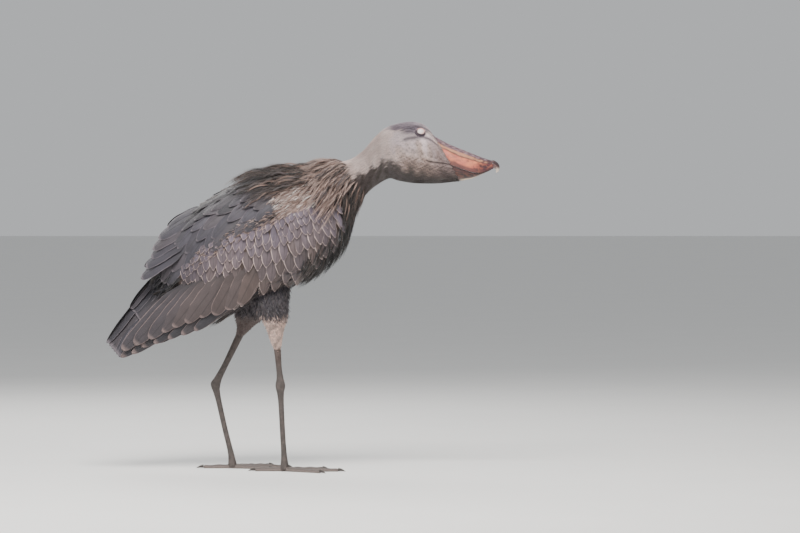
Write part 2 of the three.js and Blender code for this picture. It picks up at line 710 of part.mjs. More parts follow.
function shoulderFeathers(side) {
  const { rows, perRow, rings, upper, heading, length, width, thick, lift } = SHOULDER;
  return Array.from({ length: rows * perRow }, (_, i) => {
    const row = Math.floor(i / perRow) / (rows - 1);
    const down = ((i % perRow) + 0.5 * (Math.floor(i / perRow) % 2)) / (perRow - 0.5);
    const ring = lerp(rings[0], rings[1], row);
    const place = {
      ring,
      turn: lerp(rad(upper), shoulderLower(ring) - rad(12), down),
      heading: rad(lerp(heading[0], heading[1], down) + scatter(4)),
      length: lerp(length[0], length[1], row) * (1 + scatter(0.08)),
      base: SCAPULAR.proud,
      lift: lerp(lift[0], lift[1], down),
      stiff: 0.15,
    };
    const wide = lerp(width[0], width[1], row);
    return vane({ spine: laid(side, place), width: wide, thick, roll: side * rad(5), segments: 3 });
  });
}

random(SEED);
for (const side of [RIGHT, LEFT]) {
  const name = side === RIGHT ? "right" : "left";
  const wing = [
    wingShell(side),
    ...coverts(side),
    ...fan(side, SECONDARIES, WING.proud),
    ...fan(side, PRIMARIES, WING.proud - 2),
  ];
  const shoulder = [
    shoulderShell(side),
    ...shoulderFeathers(side),
    ...fan(side, TERTIALS, SCAPULAR.proud),
  ];
  place("wing_" + name, join(wing).subtract(body), SLATE);
  place("scapulars_" + name, join(shoulder).subtract(body), SLATE);
}

// Tail
const tailDirection = new THREE.Vector3(
  TAIL.ridgeTip[0] - TAIL.ridgeRoot[0],
  0,
  TAIL.ridgeTip[1] - TAIL.ridgeRoot[1],
).normalize();

function tailPlug() {
  const tube = new THREE.CylinderGeometry(1, 1, 1, 12, 3);
  return solid(
    shaped(tube, (v) => {
      const share = 0.5 - v.y;
      const [x, z] = beside(TRUNK[0].along - GAP, TAIL_PLUG.height + TAIL_PLUG.up * v.z);
      const root = new THREE.Vector3(x, TAIL_PLUG.half * v.x, z);
      const slope = new THREE.Vector3(-tailDirection.z, 0, tailDirection.x);
      const end = new THREE.Vector3(TAIL_PLUG.end[0], TAIL_PLUG.endHalf * v.x, TAIL_PLUG.end[1]);
      end.addScaledVector(slope, -TAIL_PLUG.endUp * v.z - TAIL_PLUG.arch * v.x * v.x);
      v.copy(root).lerp(end, share);
    }),
  );
}

function rectrix(aside) {
  const [rootX, rootZ] = TAIL.ridgeRoot;
  const [tipX, tipZ] = TAIL.ridgeTip;
  const low = Math.abs(aside) ** 1.3;
  const root = new THREE.Vector3(
    rootX + TAIL.rootDrop[0] * low,
    TAIL.rootAside * aside,
    rootZ + TAIL.rootDrop[1] * low,
  );
  const tip = new THREE.Vector3(
    tipX + TAIL.tipDrop[0] * low,
    TAIL.tipAside * aside,
    tipZ + TAIL.tipDrop[1] * low,
  );
  const out = new THREE.Vector3(tailDirection.z, 0.9 * aside, -tailDirection.x);
  const level = TAIL.layer * (TAIL.pairs * (1 - Math.abs(aside)) + (aside > 0 ? 0.5 : 0));
  root.addScaledVector(out, level - 7);
  tip.addScaledVector(out, level - 4);
  const bend = root.clone().lerp(tip, 0.5).addScaledVector(out, 5);
  return vane({
    spine: bow(root, bend, tip, out),
    width: TAIL.width,
    thick: TAIL.thick,
    tip: 7,
    root: 0.6,
  });
}

const fanned = Array.from({ length: TAIL.pairs }, (_, i) => (i + 0.4) / (TAIL.pairs - 0.6));
const rectrices = fanned.flatMap((aside) => [rectrix(aside), rectrix(-aside)]);
place("tail", join([tailPlug(), ...rectrices]).subtract(body), SLATE);

// Torso with its shaggy mantle, the ruff about the neck, and hanging tufts on chest and vent
function locks(side) {
  return LOCKS.flatMap(({ count, rings, turns, towards, length, lift }) =>
    Array.from({ length: count }, (_, i) => {
      const share = i / (count - 1);
      const across = (i * 0.618) % 1;
      return lock(side, {
        ring: lerp(rings[0], rings[1], share) + scatter(0.05),
        turn: rad(lerp(turns[0], turns[1], across)),
        towards: [towards[0] + scatter(0.15), towards[1] + scatter(0.15), towards[2]],
        length: length * (1 + scatter(0.15)),
        width: LOCK_WIDTH,
        lift: lift * (1 + scatter(0.3)),
      });
    }),
  );
}

// One row of feathers down the middle of the back, between the shoulders
const backFeathers = Array.from({ length: BACK.count }, (_, i) => {
  const ring = lerp(BACK.rings[0], BACK.rings[1], i / (BACK.count - 1));
  const { length, width, thick, lift } = BACK;
  const place = { ring, turn: 0, heading: 0, length, base: 0, lift, stiff: 0.1 };
  return vane({ spine: laid(RIGHT, place), width, thick, segments: 3 });
});
place("torso", join([torso, ...backFeathers, ...locks(RIGHT), ...locks(LEFT)]), DARK);

// The origin is beneath the middle of the whole bird, on the floor.
const bounds = new THREE.Box3().setFromObject(model);
const centre = bounds.getCenter(new THREE.Vector3());
model.position.set(-centre.x, -centre.y, -bounds.min.z);
const bird = new THREE.Group();
bird.add(model);

export default bird;
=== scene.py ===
"""A shoebill that leans forward with its neck stretched out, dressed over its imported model.

Lengths are metres once they are multiplied by MM. The bird's own sizes are kept in millimetres about
the same origin as its construction, and Body.offset carries them into the model's frame.
"""

import logging
import math
from dataclasses import dataclass, field
from enum import Enum

import bpy
import numpy as np
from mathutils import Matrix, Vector


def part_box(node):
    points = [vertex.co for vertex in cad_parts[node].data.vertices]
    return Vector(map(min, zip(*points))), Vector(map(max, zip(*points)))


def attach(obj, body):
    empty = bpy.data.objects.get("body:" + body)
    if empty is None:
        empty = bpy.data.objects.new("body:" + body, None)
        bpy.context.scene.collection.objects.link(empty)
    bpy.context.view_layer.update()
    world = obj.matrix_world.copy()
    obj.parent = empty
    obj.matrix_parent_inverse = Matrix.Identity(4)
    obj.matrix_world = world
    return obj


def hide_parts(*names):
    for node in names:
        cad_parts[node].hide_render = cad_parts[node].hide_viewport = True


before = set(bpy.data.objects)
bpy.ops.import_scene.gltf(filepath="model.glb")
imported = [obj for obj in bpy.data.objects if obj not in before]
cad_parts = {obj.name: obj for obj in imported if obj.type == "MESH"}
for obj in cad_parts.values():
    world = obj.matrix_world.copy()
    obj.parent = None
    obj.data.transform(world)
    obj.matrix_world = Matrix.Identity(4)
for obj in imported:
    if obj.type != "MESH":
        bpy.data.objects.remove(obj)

Array = np.ndarray
Colour = tuple[float, float, float]
LOG = logging.getLogger("shoebill")
MM = 0.001
RIGHT = 1
LEFT = -1
SIDES = {RIGHT: "right", LEFT: "left"}
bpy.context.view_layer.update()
BAKE_MAP = "OFBake"
BAKE_PATCH = 0.003

# Plumage and skin colours, linear
SLATE: Colour = (0.041, 0.037, 0.049)
SLATE_DARK: Colour = (0.017, 0.015, 0.02)
LILAC: Colour = (0.15, 0.118, 0.158)
DUN: Colour = (0.13, 0.092, 0.086)
BROWN: Colour = (0.05, 0.033, 0.028)
BLACK: Colour = (0.009, 0.008, 0.009)
TAN: Colour = (0.34, 0.225, 0.185)
BUFF: Colour = (0.55, 0.4, 0.35)
PALE: Colour = (1.0, 0.83, 0.78)
ASH: Colour = (0.17, 0.135, 0.135)
CROWN: Colour = (0.23, 0.18, 0.24)
UMBER: Colour = (0.055, 0.038, 0.033)
TROUSER: Colour = (0.045, 0.041, 0.053)
LILAC_GREY: Colour = (0.8, 0.7, 0.78)
LORE_GREY: Colour = (0.3, 0.215, 0.215)
BROW_GREY: Colour = (0.3, 0.26, 0.27)
CROWN_DARK: Colour = (0.1, 0.075, 0.1)
EYE_BAND: Colour = (0.184, 0.144, 0.192)
EYE_BAND_DARK: Colour = (0.04, 0.028, 0.045)
STRIPE_DARK: Colour = (0.07, 0.05, 0.075)
GAPE_DARK: Colour = (0.04, 0.025, 0.025)
# painted shade under the jaw
JAW_SHADE: Colour = (0.05, 0.036, 0.034)
SCUTE_GAP: Colour = (0.03, 0.025, 0.022)
VESSEL: Colour = (0.55, 0.25, 0.22)


def smooth(value: Array, low: float, high: float) -> Array:
    """Eases from 0 at low to 1 at high."""
    share = np.clip((np.asarray(value, float) - low) / (high - low), 0, 1)
    return share * share * (3 - 2 * share)


def between(value: Array, low: float, high: float, soft: float) -> Array:
    """Is 1 from low to high and eases to 0 over a soft margin outside them."""
    return smooth(value, low - soft, low) * (1 - smooth(value, high, high + soft))


def bell(value: Array, middle: float, wide: float, power: int = 2) -> Array:
    """Is 1 at the middle and falls to 1/e at a distance of wide."""
    return np.exp(-(((value - middle) / wide) ** power))


def blend(first: Array | Colour, second: Array | Colour, share: Array) -> Array:
    """Mixes two colours, or rows of colours, by a share for each row."""
    share = np.asarray(share, float)[..., None]
    return np.asarray(first) * (1 - share) + np.asarray(second) * share


def unit(vectors: Array) -> Array:
    """Scales each row to length 1."""
    length = np.linalg.norm(vectors, axis=-1, keepdims=True)
    return vectors / np.maximum(length, 1e-12)


def round_grid(rows: int, columns: int) -> tuple[Array, Array]:
    """Shares from 0 to 1 down the rows, and turns right round along the columns."""
    around = np.linspace(0, 2 * math.pi, columns, endpoint=False)
    return np.meshgrid(np.linspace(0, 1, rows), around, indexing="ij")


def ripple(places: Array, size: float, seed: int = 0) -> Array:
    """A smooth random field from 0 to 1 that varies over about a given size.

    Args:
        places: Points, one a row.
        size: Typical distance between its highs, in the points' unit.
        seed: Picks one of many such fields.
    Returns:
        One value a row.
    """
    draw = np.random.default_rng(1000 + seed)
    total = np.zeros(len(places))
    for _ in range(7):
        wave = draw.normal(size=places.shape[1])
        wave *= 2 * math.pi / size * draw.uniform(0.6, 1.4) / np.linalg.norm(wave)
        total += np.sin(places @ wave + draw.uniform(0, 2 * math.pi))
    return np.clip(0.5 + total / 6, 0, 1)


def mottle(points: Array, size: float, seed: int, stretch: float = 1.0) -> Array:
    """The random field over a grid of points, drawn out along x by a stretch."""
    flat = points.reshape(-1, 3) * [1 / stretch, 1, 1]
    return ripple(flat, size, seed).reshape(points.shape[:-1])


def spline(points: Array, at: Array) -> Array:
    """A uniform Catmull-Rom curve through the rows of points.

    Args:
        points: The rows to pass through.
        at: Places along it, where whole numbers are the rows themselves.
    Returns:
        One row for each place.
    """
    last = len(points) - 1
    at = np.clip(np.asarray(at, float), 0, last)
    first = np.minimum(np.floor(at).astype(int), last - 1)
    share = (at - first)[..., None]
    padded = np.vstack([2 * points[0] - points[1], points, 2 * points[-1] - points[-2]])
    before, start, end, after = (padded[first + k] for k in range(4))
    leave, arrive = (end - before) / 2, (after - start) / 2
    cubic = 2 * (start - end) + leave + arrive
    square = 3 * (end - start) - 2 * leave - arrive
    return start + leave * share + square * share**2 + cubic * share**3


@dataclass
class Body:
    """The smooth outer form of rump, trunk, neck and head, as one tube through tilted rings.

    A place on it is a ring number from 0 at the rump to 16 at the face, and a turn from 0 on top,
    positive down the right side and negative down the left.
    """

    pitch: float = math.radians(30)
    middle: tuple[float, float] = (-85, 666)
    trunk: tuple = (
        (-345, 60, -70, 45),
        (-290, 106, -116, 88),
        (-220, 139, -132, 118),
        (-140, 158, -138, 138),
        (-50, 163, -148, 148),
        (40, 155, -152, 146),
        (110, 134, -140, 132),
        (170, 108, -112, 108),
    )
    trunk_square: float = 0.86
    neck: tuple = (
        (60, 860, 150, 738, 70, 0.95, 0.95),
        (123, 867, 185, 780, 49, 1, 1),
        (165, 892, 215, 803, 42, 1, 1),
        (205, 936, 243, 816, 46, 0.95, 1),
        (240, 962, 268, 810, 53, 0.85, 0.95),
    )
    head: tuple = (
        (290, 974, 304, 804, 57, 0.74, 0.85),
        (328, 971, 342, 802, 58, 0.66, 0.8),
        (350, 957, 386, 803, 57, 0.66, 0.78),
        (367, 933, 436, 809, 53, 0.74, 0.78),
    )
    eye_at: tuple[float, float] = (14.0, math.radians(52.5))
    eye_radius: float = 13.5
    eye_proud: float = 5.0
    gape_turn: float = math.radians(99)
    gape_end: float = 14.3
    spread_cells: int = 40
    spread_strides: tuple[float, float] = (0.7548776662, 0.5698402910)

    def __post_init__(self) -> None:
        """Works out the rings, and the offset from the eye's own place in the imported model."""
        rings = [
            (*self.beside(along, back), *self.beside(along, belly), half) + (self.trunk_square,) * 2
            for along, back, belly, half in self.trunk
        ]
        self.table = np.array([*rings, *self.neck, *self.head], float)
        self.last = len(self.table) - 1
        low, high = (np.array(corner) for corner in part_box("eye_right"))
        self.offset = (low + high) / 2 - self.eye_centre(RIGHT) * MM

    def model(self, points: Array) -> Array:
        """Carries points from the bird's millimetres into the model's frame."""
        return points * MM + self.offset

    def beside(self, along: float, height: float) -> tuple[float, float]:
        """The x and z of a point at a distance along the trunk's axis and a height off it."""
        c, s = math.cos(self.pitch), math.sin(self.pitch)
        return self.middle[0] + along * c - height * s, self.middle[1] + along * s + height * c

    def point(self, ring: Array, turn: Array) -> Array:
        """The form's own surface, before any relief, in the bird's millimetres."""
        ring, turn = np.broadcast_arrays(np.asarray(ring, float), np.asarray(turn, float))
        row = spline(self.table, ring)
        c, s = np.cos(turn), np.sin(turn)
        power = np.where(c > 0, row[..., 5], row[..., 6])
        up, out = np.sign(c) * np.abs(c) ** power, np.sign(s) * np.abs(s) ** power
        x = (row[..., 0] + row[..., 2]) / 2 + (row[..., 0] - row[..., 2]) / 2 * up
        z = (row[..., 1] + row[..., 3]) / 2 + (row[..., 1] - row[..., 3]) / 2 * up
        return np.stack([x, -row[..., 4] * out, z], -1)

    def axes(self, ring: Array, turn: Array) -> tuple[Array, Array, Array]:
        """Unit vectors backwards along the form, downwards round it, and out of it."""
        step = 0.03
        back = self.point(ring - step, turn) - self.point(np.minimum(ring + step, self.last), turn)
        sense = np.where(np.asarray(turn) < 0, -1.0, 1.0)[..., None]
        down = (self.point(ring, turn + step) - self.point(ring, turn - step)) * sense
        back, down = unit(back), unit(down)
        out = unit(np.cross(back, down) * sense)
        return back, unit(np.cross(out, back) * sense), out

    def relief(self, ring: Array, turn: Array) -> Array:
        """How far brow, eye hollow, cheek, lores and mouth line raise or sink the head."""
        turn = np.abs(turn)
        hollow = -2.4 * bell(self.from_eye(ring, turn), 0, 17)
        brow = 3.0 * between(ring, 13.5, 15.3, 0.6) * bell(turn, 0.58, 0.14)
        cheek = 2.6 * bell(ring, 14.7, 0.9) * bell(turn, 2.05, 0.35)
        lores = -1.8 * bell(ring, 15.4, 0.5) * bell(turn, 1.2, 0.3)
        along_gape = between(ring, self.gape_end + 0.2, 16.2, 0.3)
        gape = -2.2 * along_gape * bell(turn, self.gape_turn, 0.035)
        jaw = -1.6 * between(ring, 12.4, 15.4, 0.6) * bell(turn, 2.62, 0.16)
        return hollow + brow + cheek + lores + gape + jaw

    def from_eye(self, ring: Array, turn: Array) -> Array:
        """Roughly how many millimetres a place on the head lies from the middle of the eye."""
        eye_ring, eye_turn = self.eye_at
        return np.hypot((ring - eye_ring) * 26, (np.abs(turn) - eye_turn) * 62)

    def surface(self, ring: Array, turn: Array, out: Array | float = 0.0) -> Array:
        """A point of the finished surface in metres, raised by out millimetres."""
        _, _, normal = self.axes(ring, turn)
        rise = np.asarray(self.relief(ring, turn) + out, float)[..., None]
        return self.model(self.point(ring, turn) + normal * rise)

    def walk(self, ring: Array, turn: Array, heading: Array, distance: Array) -> tuple[Array, Array]:
        """The place reached after a distance in a heading from 0, back, to a right angle, down."""
        step = 0.05
        along = self.point(ring + step, turn) - self.point(ring - step, turn)
        around = self.point(ring, turn + step) - self.point(ring, turn - step)
        along, around = (np.linalg.norm(part, axis=-1) for part in (along, around))
        share = 2 * step * distance
        sense = np.where(np.asarray(turn) < 0, -1.0, 1.0)
        ahead = ring - share * np.cos(heading) / np.maximum(along, 1e-6)
        return ahead, turn + sense * share * np.sin(heading) / np.maximum(around, 1e-6)

    def eye_centre(self, side: int) -> Array:
        """The middle of an eyeball in the bird's millimetres."""
        ring, turn = self.eye_at
        _, _, out = self.axes(ring, side * turn)
        return self.point(ring, side * turn) + out * (self.eye_proud - self.eye_radius)

    def spread(self, rings: tuple, turns: tuple, count: int, seed: int) -> tuple[Array, Array]:
        """Places spread evenly by area over a stretch of the form, in a fixed quasi-random order.

        Args:
            rings: First and last ring of the stretch.
            turns: First and last turn of it.
            count: How many places.
            seed: Where in the order they start.
        Returns:
            Ring and turn of each place.
        """
        cells = self.spread_cells
        edges_r = np.linspace(*rings, cells + 1)
        edges_t = np.linspace(*turns, cells + 1)
        mid_r, mid_t = (edges_r[1:] + edges_r[:-1]) / 2, (edges_t[1:] + edges_t[:-1]) / 2
        grid_r, grid_t = np.meshgrid(mid_r, mid_t, indexing="ij")
        step = 0.03
        a = self.point(grid_r + step, grid_t) - self.point(grid_r - step, grid_t)
        b = self.point(grid_r, grid_t + step) - self.point(grid_r, grid_t - step)
        area = np.linalg.norm(np.cross(a, b), axis=-1)
        index = np.arange(count) + 1 + 977 * seed
        first, second = ((index * stride) % 1 for stride in self.spread_strides)
        total = np.concatenate([[0], np.cumsum(area.sum(1))])
        ring = np.interp(first * total[-1], total, edges_r)
        sense = 1 if rings[1] > rings[0] else -1
        row = np.clip(np.searchsorted(sense * edges_r, sense * ring) - 1, 0, cells - 1)
        running = np.concatenate([np.zeros((cells, 1)), np.cumsum(area, 1)], 1)
        places = (np.interp(s * running[r, -1], running[r], edges_t) for s, r in zip(second, row))
        return ring, np.fromiter(places, float, count)


BODY = Body()


class Markings:
    """The colours of skin and coat by their place on the body, one field for both."""

    @staticmethod
    def head_and_neck(ring: Array, turn: Array) -> Array:
        """Pale cheeks and nape, a slate crown and eye band, and a darker throat and underside with a
        ragged border, which is partly painted shade.
        """
        turn = np.abs(turn)
        place = np.stack([ring * 34, turn * 50], -1)
        fine, broad = ripple(place, 8, 4) - 0.5, ripple(place, 26, 3) - 0.5
        ragged = 0.3 * broad + 0.22 * fine
        colour = blend(PALE, BUFF, 0.1 + 0.35 * ripple(place, 30, 5))
        lilac = between(ring, 12.4, 15.2, 0.8) * between(turn + 0.3 * broad, 0.95, 1.35, 0.25)
        colour = blend(colour, LILAC_GREY, 0.5 * lilac)
        cheek = smooth(turn + ragged, 1.25, 1.95) * smooth(ring, 11.4, 13)
        colour = blend(colour, TAN, 0.85 * cheek)
        front = smooth(ring, 14.2, 15.6) * smooth(turn, 0.85, 1.2)
        colour = blend(colour, LORE_GREY, 0.75 * front)
        specks = smooth(ripple(place, 5, 6), 0.62, 0.8)
        colour = blend(colour, UMBER, 0.75 * specks * (0.25 + 0.75 * cheek))
        # partly painted shade: the underside of neck and head darkens below a ragged line, over the
        # throat's own darker plumage
        border = np.interp(ring, np.arange(8, 16), [1.15, 1.4, 1.5, 1.6, 1.75, 2.05, 2.25, 2.35])
        shade = smooth(turn + ragged, border - 0.08, border + 0.35)
        colour = blend(colour, blend(UMBER, ASH, 0.5 * ripple(place, 20, 7)), shade)
        # painted shade: the low sides of the head darker still
        low = smooth(turn + ragged, 1.75, 2.3) * smooth(ring, 12, 13)
        colour = blend(colour, UMBER, 0.75 * low)
        crown_edge = np.interp(ring, [11.5, 12.3, 13.2, 14.5, 16], [0.2, 0.62, 0.74, 0.7, 0.5])
        beside = smooth(turn + 0.5 * ragged, crown_edge, crown_edge + 0.16)
        crown = smooth(ring, 11.4, 12.4) * (1 - beside)
        streak = smooth(ripple(np.stack([ring * 14, turn * 60], -1), 7, 9), 0.4, 0.7)
        colour = blend(colour, blend(CROWN, CROWN_DARK, 0.6 * streak), 0.92 * crown)
        band = bell(ring, 13.45, 0.75, 4) * bell(turn, 0.84, 0.22, 4)
        colour = blend(colour, blend(EYE_BAND, EYE_BAND_DARK, 0.7 * streak), 0.95 * band)
        stripe = between(ring, 12.9, 15.7, 0.3) * bell(turn + 0.05 * (ring - 14), 1.16, 0.07)
        colour = blend(colour, STRIPE_DARK, 0.8 * stripe)
        brow = between(ring, 14.1, 15.8, 0.3) * (1 - smooth(turn, 0.75, 0.95))
        colour = blend(colour, BROW_GREY, 0.5 * brow)
        gape = between(ring, 14.4, 16.5, 0.2) * bell(turn, BODY.gape_turn, 0.03)
        colour = blend(colour, GAPE_DARK, 0.85 * gape)
        # painted shade under the jaw
        jaw = smooth(turn + ragged, 2.5, 2.8) * smooth(ring, 12.2, 13)
        colour = blend(colour, JAW_SHADE, 0.6 * jaw)
        base = 1 - smooth(ring, 8.2, 9.4)
        return blend(colour, TAN, 0.4 * base * (1 - shade))

    @staticmethod
    def trunk(ring: Array, turn: Array) -> Array:
        """Dark down beneath the feathers, greyer towards belly and vent."""
        turn = np.abs(turn)
        place = np.stack([ring * 70, turn * 130], -1)
        colour = blend(BROWN, SLATE_DARK, ripple(place, 60, 8))
        belly = smooth(turn, 2.2, 2.8) * (1 - smooth(ring, 5.5, 7.2))
        colour = blend(colour, TROUSER, belly)
        chest = smooth(ring, 5.6, 6.8) * smooth(turn, 1.9, 2.5)
        return blend(colour, BLACK, 0.7 * chest)

    @classmethod
    def skin(cls, ring: Array, turn: Array) -> Array:
        """The whole body's colour."""
        share = smooth(ring, 7.7, 8.7)
        return blend(cls.trunk(ring, turn), cls.head_and_neck(ring, turn), share)


@dataclass
class Spines:
    """Curved centre lines for many feathers, as arrays with one row a feather."""

    root: Array
    bend: Array
    tip: Array
    facing: Array
    place: Array

    def __len__(self) -> int:
        """How many spines there are."""
        return len(self.root)

    def at(self, share: Array) -> tuple[Array, Array, Array, Array]:
        """Points, side directions, normals and tangents at some shares along every spine."""
        s = np.asarray(share, float)[None, :, None]
        root, bend, tip = (rows[:, None, :] for rows in (self.root, self.bend, self.tip))
        point = (1 - s) ** 2 * root + 2 * s * (1 - s) * bend + s * s * tip
        tangent = unit((1 - s) * (bend - root) + s * (tip - bend) + 1e-9 * (tip - root))
        side = unit(np.cross(tangent, np.broadcast_to(self.facing[:, None, :], tangent.shape)))
        return point, side, unit(np.cross(side, tangent)), tangent

    def rolled(self, share: Array, roll: Array) -> tuple[Array, Array, Array]:
        """Points, side directions and normals along every spine, turned by roll about its length."""
        point, side, normal, _ = self.at(share)
        roll = np.broadcast_to(roll, len(self))[:, None, None]
        c, s = np.cos(roll), np.sin(roll)
        return point, side * c + normal * s, normal * c - side * s

    def built(self, verts: Array, faces: Array, blade: Array) -> tuple[Array, Array, Array, Array]:
        """Repeats one feather's faces for all of them and adds the bake map's patches.

        Args:
            verts: Vertices, as feathers by vertices by 3.
            faces: Faces of the first feather.
            blade: Blade coordinates in the same grid as the vertices.
        Returns:
            Vertices, faces, blade coordinates across, along and by feather, and bake map.
        """
        count, each = verts.shape[:2]
        every = faces[None] + (np.arange(count) * each)[:, None, None]
        bake = self.place[:, None, :] + BAKE_PATCH * 0.5 * (blade[..., :2] - [0, 0.5])
        every = every.reshape(-1, faces.shape[1])
        return verts.reshape(-1, 3), every, blade.reshape(-1, 3), bake.reshape(-1, 2)


def bake_place(ring: Array, turn: Array) -> Array:
    """Where a place on the body lies on the unwrap of the skin, from 0 to 1 both ways."""
    return np.stack([0.02 + 0.95 * np.asarray(ring) / 16, 0.5 + 0.47 * np.asarray(turn) / math.pi], -1)


def lay(ring: Array, turn: Array, heading: Array, length: Array, base: Array, lift: Array,
        stiff: float = 0.2, sunk: float = 3.0) -> Spines:
    """Spines of feathers that follow the body and lift towards their tips.

    Args:
        ring: Ring of each root.
        turn: Turn of each root.
        heading: From 0, straight back, to a right angle, straight down.
        length: Length of each feather in millimetres.
        base: Height of the layer off the body's form.
        lift: Extra height of the tip.
        stiff: 0 follows the body's curve and 1 stays straight.
        sunk: How far the root lies below the layer.
    Returns:
        The spines, in metres.
    """
    ring, turn, heading, length, base, lift = np.broadcast_arrays(ring, turn, heading, length, base, lift)
    mid_ring, mid_turn = BODY.walk(ring, turn, heading, length / 2)
    end_ring, end_turn = BODY.walk(mid_ring, mid_turn, heading, length / 2)
    root = BODY.surface(ring, turn, base - sunk)
    middle = BODY.surface(mid_ring, mid_turn, base + 0.35 * lift)
    straight = 2 * middle - root
    tip = BODY.surface(end_ring, end_turn, base + lift) * (1 - stiff) + straight * stiff
    _, _, facing = BODY.axes(mid_ring, mid_turn)
    return Spines(root, 2 * middle - (root + tip) / 2, tip, facing, bake_place(ring, turn))


def hang(ring: Array, turn: Array, towards: Array, length: Array, lift: Array,
         base: Array | float = 0.0, sag: float = 0.1, sunk: float = 3.0) -> Spines:
    """Spines of loose plumes that leave the body in a given direction and droop.

    Args:
        ring: Ring of each root.
        turn: Turn of each root.
        towards: Direction in the world, one row a plume, mirrored already for the left.
        length: Length of each plume in millimetres.
        lift: How far the plume stands off the body.
        base: Height of its root off the body's form.
        sag: Droop of the tip as a share of the length.
        sunk: How far the root lies in.
    Returns:
        The spines, in metres.
    """
    _, _, out = BODY.axes(ring, turn)
    lie = unit(towards - out * np.sum(towards * out, -1, keepdims=True))
    length, lift = (np.asarray(v, float)[:, None] * MM for v in np.broadcast_arrays(length, lift))
    root = BODY.surface(ring, turn, base - sunk)
    bend = root + 0.5 * length * lie + out * (lift + sunk * MM)
    tip = root + length * lie + out * (0.75 * lift + sunk * MM)
    tip[:, 2] -= sag * length[:, 0]
    return Spines(root, bend, tip, out, bake_place(ring, turn))


@dataclass
class Vane:
    """The outline of one kind of feather, with its blade closed above and below."""

    across: int = 7
    along: int = 12
    base_width: float = 0.35
    open_by: float = 3.0
    tip_power: float = 5.0
    tip_round: float = 0.5
    camber: float = 0.12
    thickness: float = 0.7
    ragged: float = 0.03

    def build(self, spines: Spines, width: Array, roll: Array, seed: int) -> tuple:
        """Vertices, faces, blade coordinates and map of every feather.

        Args:
            spines: The feathers' centre lines.
            width: Full width of each in millimetres.
            roll: Turn of each about its own length.
            seed: Seed of the small differences.
        Returns:
            Vertices, faces, blade coordinates across, along and by feather, and bake map.
        """
        draw = np.random.default_rng(seed)
        count, nu, nv = len(spines), self.across, self.along
        u = np.linspace(-1, 1, nu)
        v = 1 - (1 - np.linspace(0, 0.998, nv)) ** 1.35
        point, side, normal = spines.rolled(v, roll)
        shape = np.minimum(1, self.base_width + self.open_by * v)
        shape = shape * (1 - v**self.tip_power) ** self.tip_round
        waves = v * draw.uniform(8, 22, (count, 1)) + draw.uniform(0, 6, (count, 1))
        wobble = 1 + self.ragged * np.sin(waves)
        half = 0.5 * MM * np.broadcast_to(width, count)[:, None] * shape * wobble
        across = u[None, None, :] * half[:, :, None]
        drop = -self.camber * half[:, :, None] * u[None, None, :] ** 2 * 2
        spine_point = point[:, :, None, :] + side[:, :, None, :] * across[..., None]
        spine_point = spine_point + normal[:, :, None, :] * drop[..., None]
        ends = np.ones(nv)
        ends[[0, -1]] = 0
        thick = 0.5 * self.thickness * MM * (1 - u**2)[None, :] * (ends * (1 - 0.6 * v))[:, None]
        top = spine_point + normal[:, :, None, :] * thick[None, :, :, None]
        under = spine_point - normal[:, :, None, :] * thick[None, :, :, None]
        verts = np.concatenate(
            [top.reshape(count, -1, 3), under[:, 1:-1, 1:-1].reshape(count, -1, 3)], 1
        )
        shade = draw.uniform(size=count)
        blade = np.empty((count, nv, nu, 3))
        blade[..., 0], blade[..., 1], blade[..., 2] = u, v[:, None], shade[:, None, None]
        blade = np.concatenate(
            [blade.reshape(count, -1, 3), blade[:, 1:-1, 1:-1].reshape(count, -1, 3)], 1
        )
        number = np.arange(nu * nv).reshape(nv, nu)
        below = number.copy()
        below[1:-1, 1:-1] = nu * nv + np.arange((nu - 2) * (nv - 2)).reshape(nv - 2, nu - 2)
        quads = [
            np.stack([g[:-1, :-1], g[:-1, 1:], g[1:, 1:], g[1:, :-1]], -1).reshape(-1, 4)
            for g in (number, below)
        ]
        return spines.built(verts, np.concatenate([quads[0], quads[1][:, ::-1]]), blade)


@dataclass
class Tuft:
    """A thin tapered blade of three-sided section, for short feathers, barbs and down."""

    stations: int = 2
    belly: float = 0.45
    thickness: float = 0.35

    def build(self, spines: Spines, width: Array, roll: Array, seed: int) -> tuple:
        """Vertices, faces, blade coordinates and map of every tuft, as for Vane.build."""
        draw = np.random.default_rng(seed)
        count, rows = len(spines), self.stations
        share = np.append(np.arange(rows) / rows, 1.0)
        point, side, normal = spines.rolled(share, roll)
        swell = 0.55 + self.belly * np.sin(math.pi * np.minimum(share[:-1] * 1.25 + 0.1, 1))
        half = 0.5 * MM * np.broadcast_to(width, count)[:, None] * swell
        deep = self.thickness * 2 * half
        body, across, out = point[:, :-1], side[:, :-1], normal[:, :-1]
        ring = np.stack(
            [
                body + across * half[..., None],
                body - across * half[..., None],
                body - out * deep[..., None],
            ],
            2,
        )
        verts = np.concatenate([ring.reshape(count, -1, 3), point[:, -1:]], 1)
        faces = [[2, 1, 0]]
        for row in range(rows - 1):
            for k in range(3):
                a, b = 3 * row + k, 3 * row + (k + 1) % 3
                faces += [[a, b, b + 3], [a, b + 3, a + 3]]
        last = 3 * (rows - 1)
        faces += [[last + k, last + (k + 1) % 3, 3 * rows] for k in range(3)]
        blade = np.empty_like(verts)
        blade[..., 0] = np.append(np.tile([1.0, -1.0, 0.0], rows), 0)
        blade[..., 1] = np.append(np.repeat(share[:-1], 3), 1)
        blade[..., 2] = draw.uniform(size=count)[:, None]
        return spines.built(verts, np.array(faces), blade)


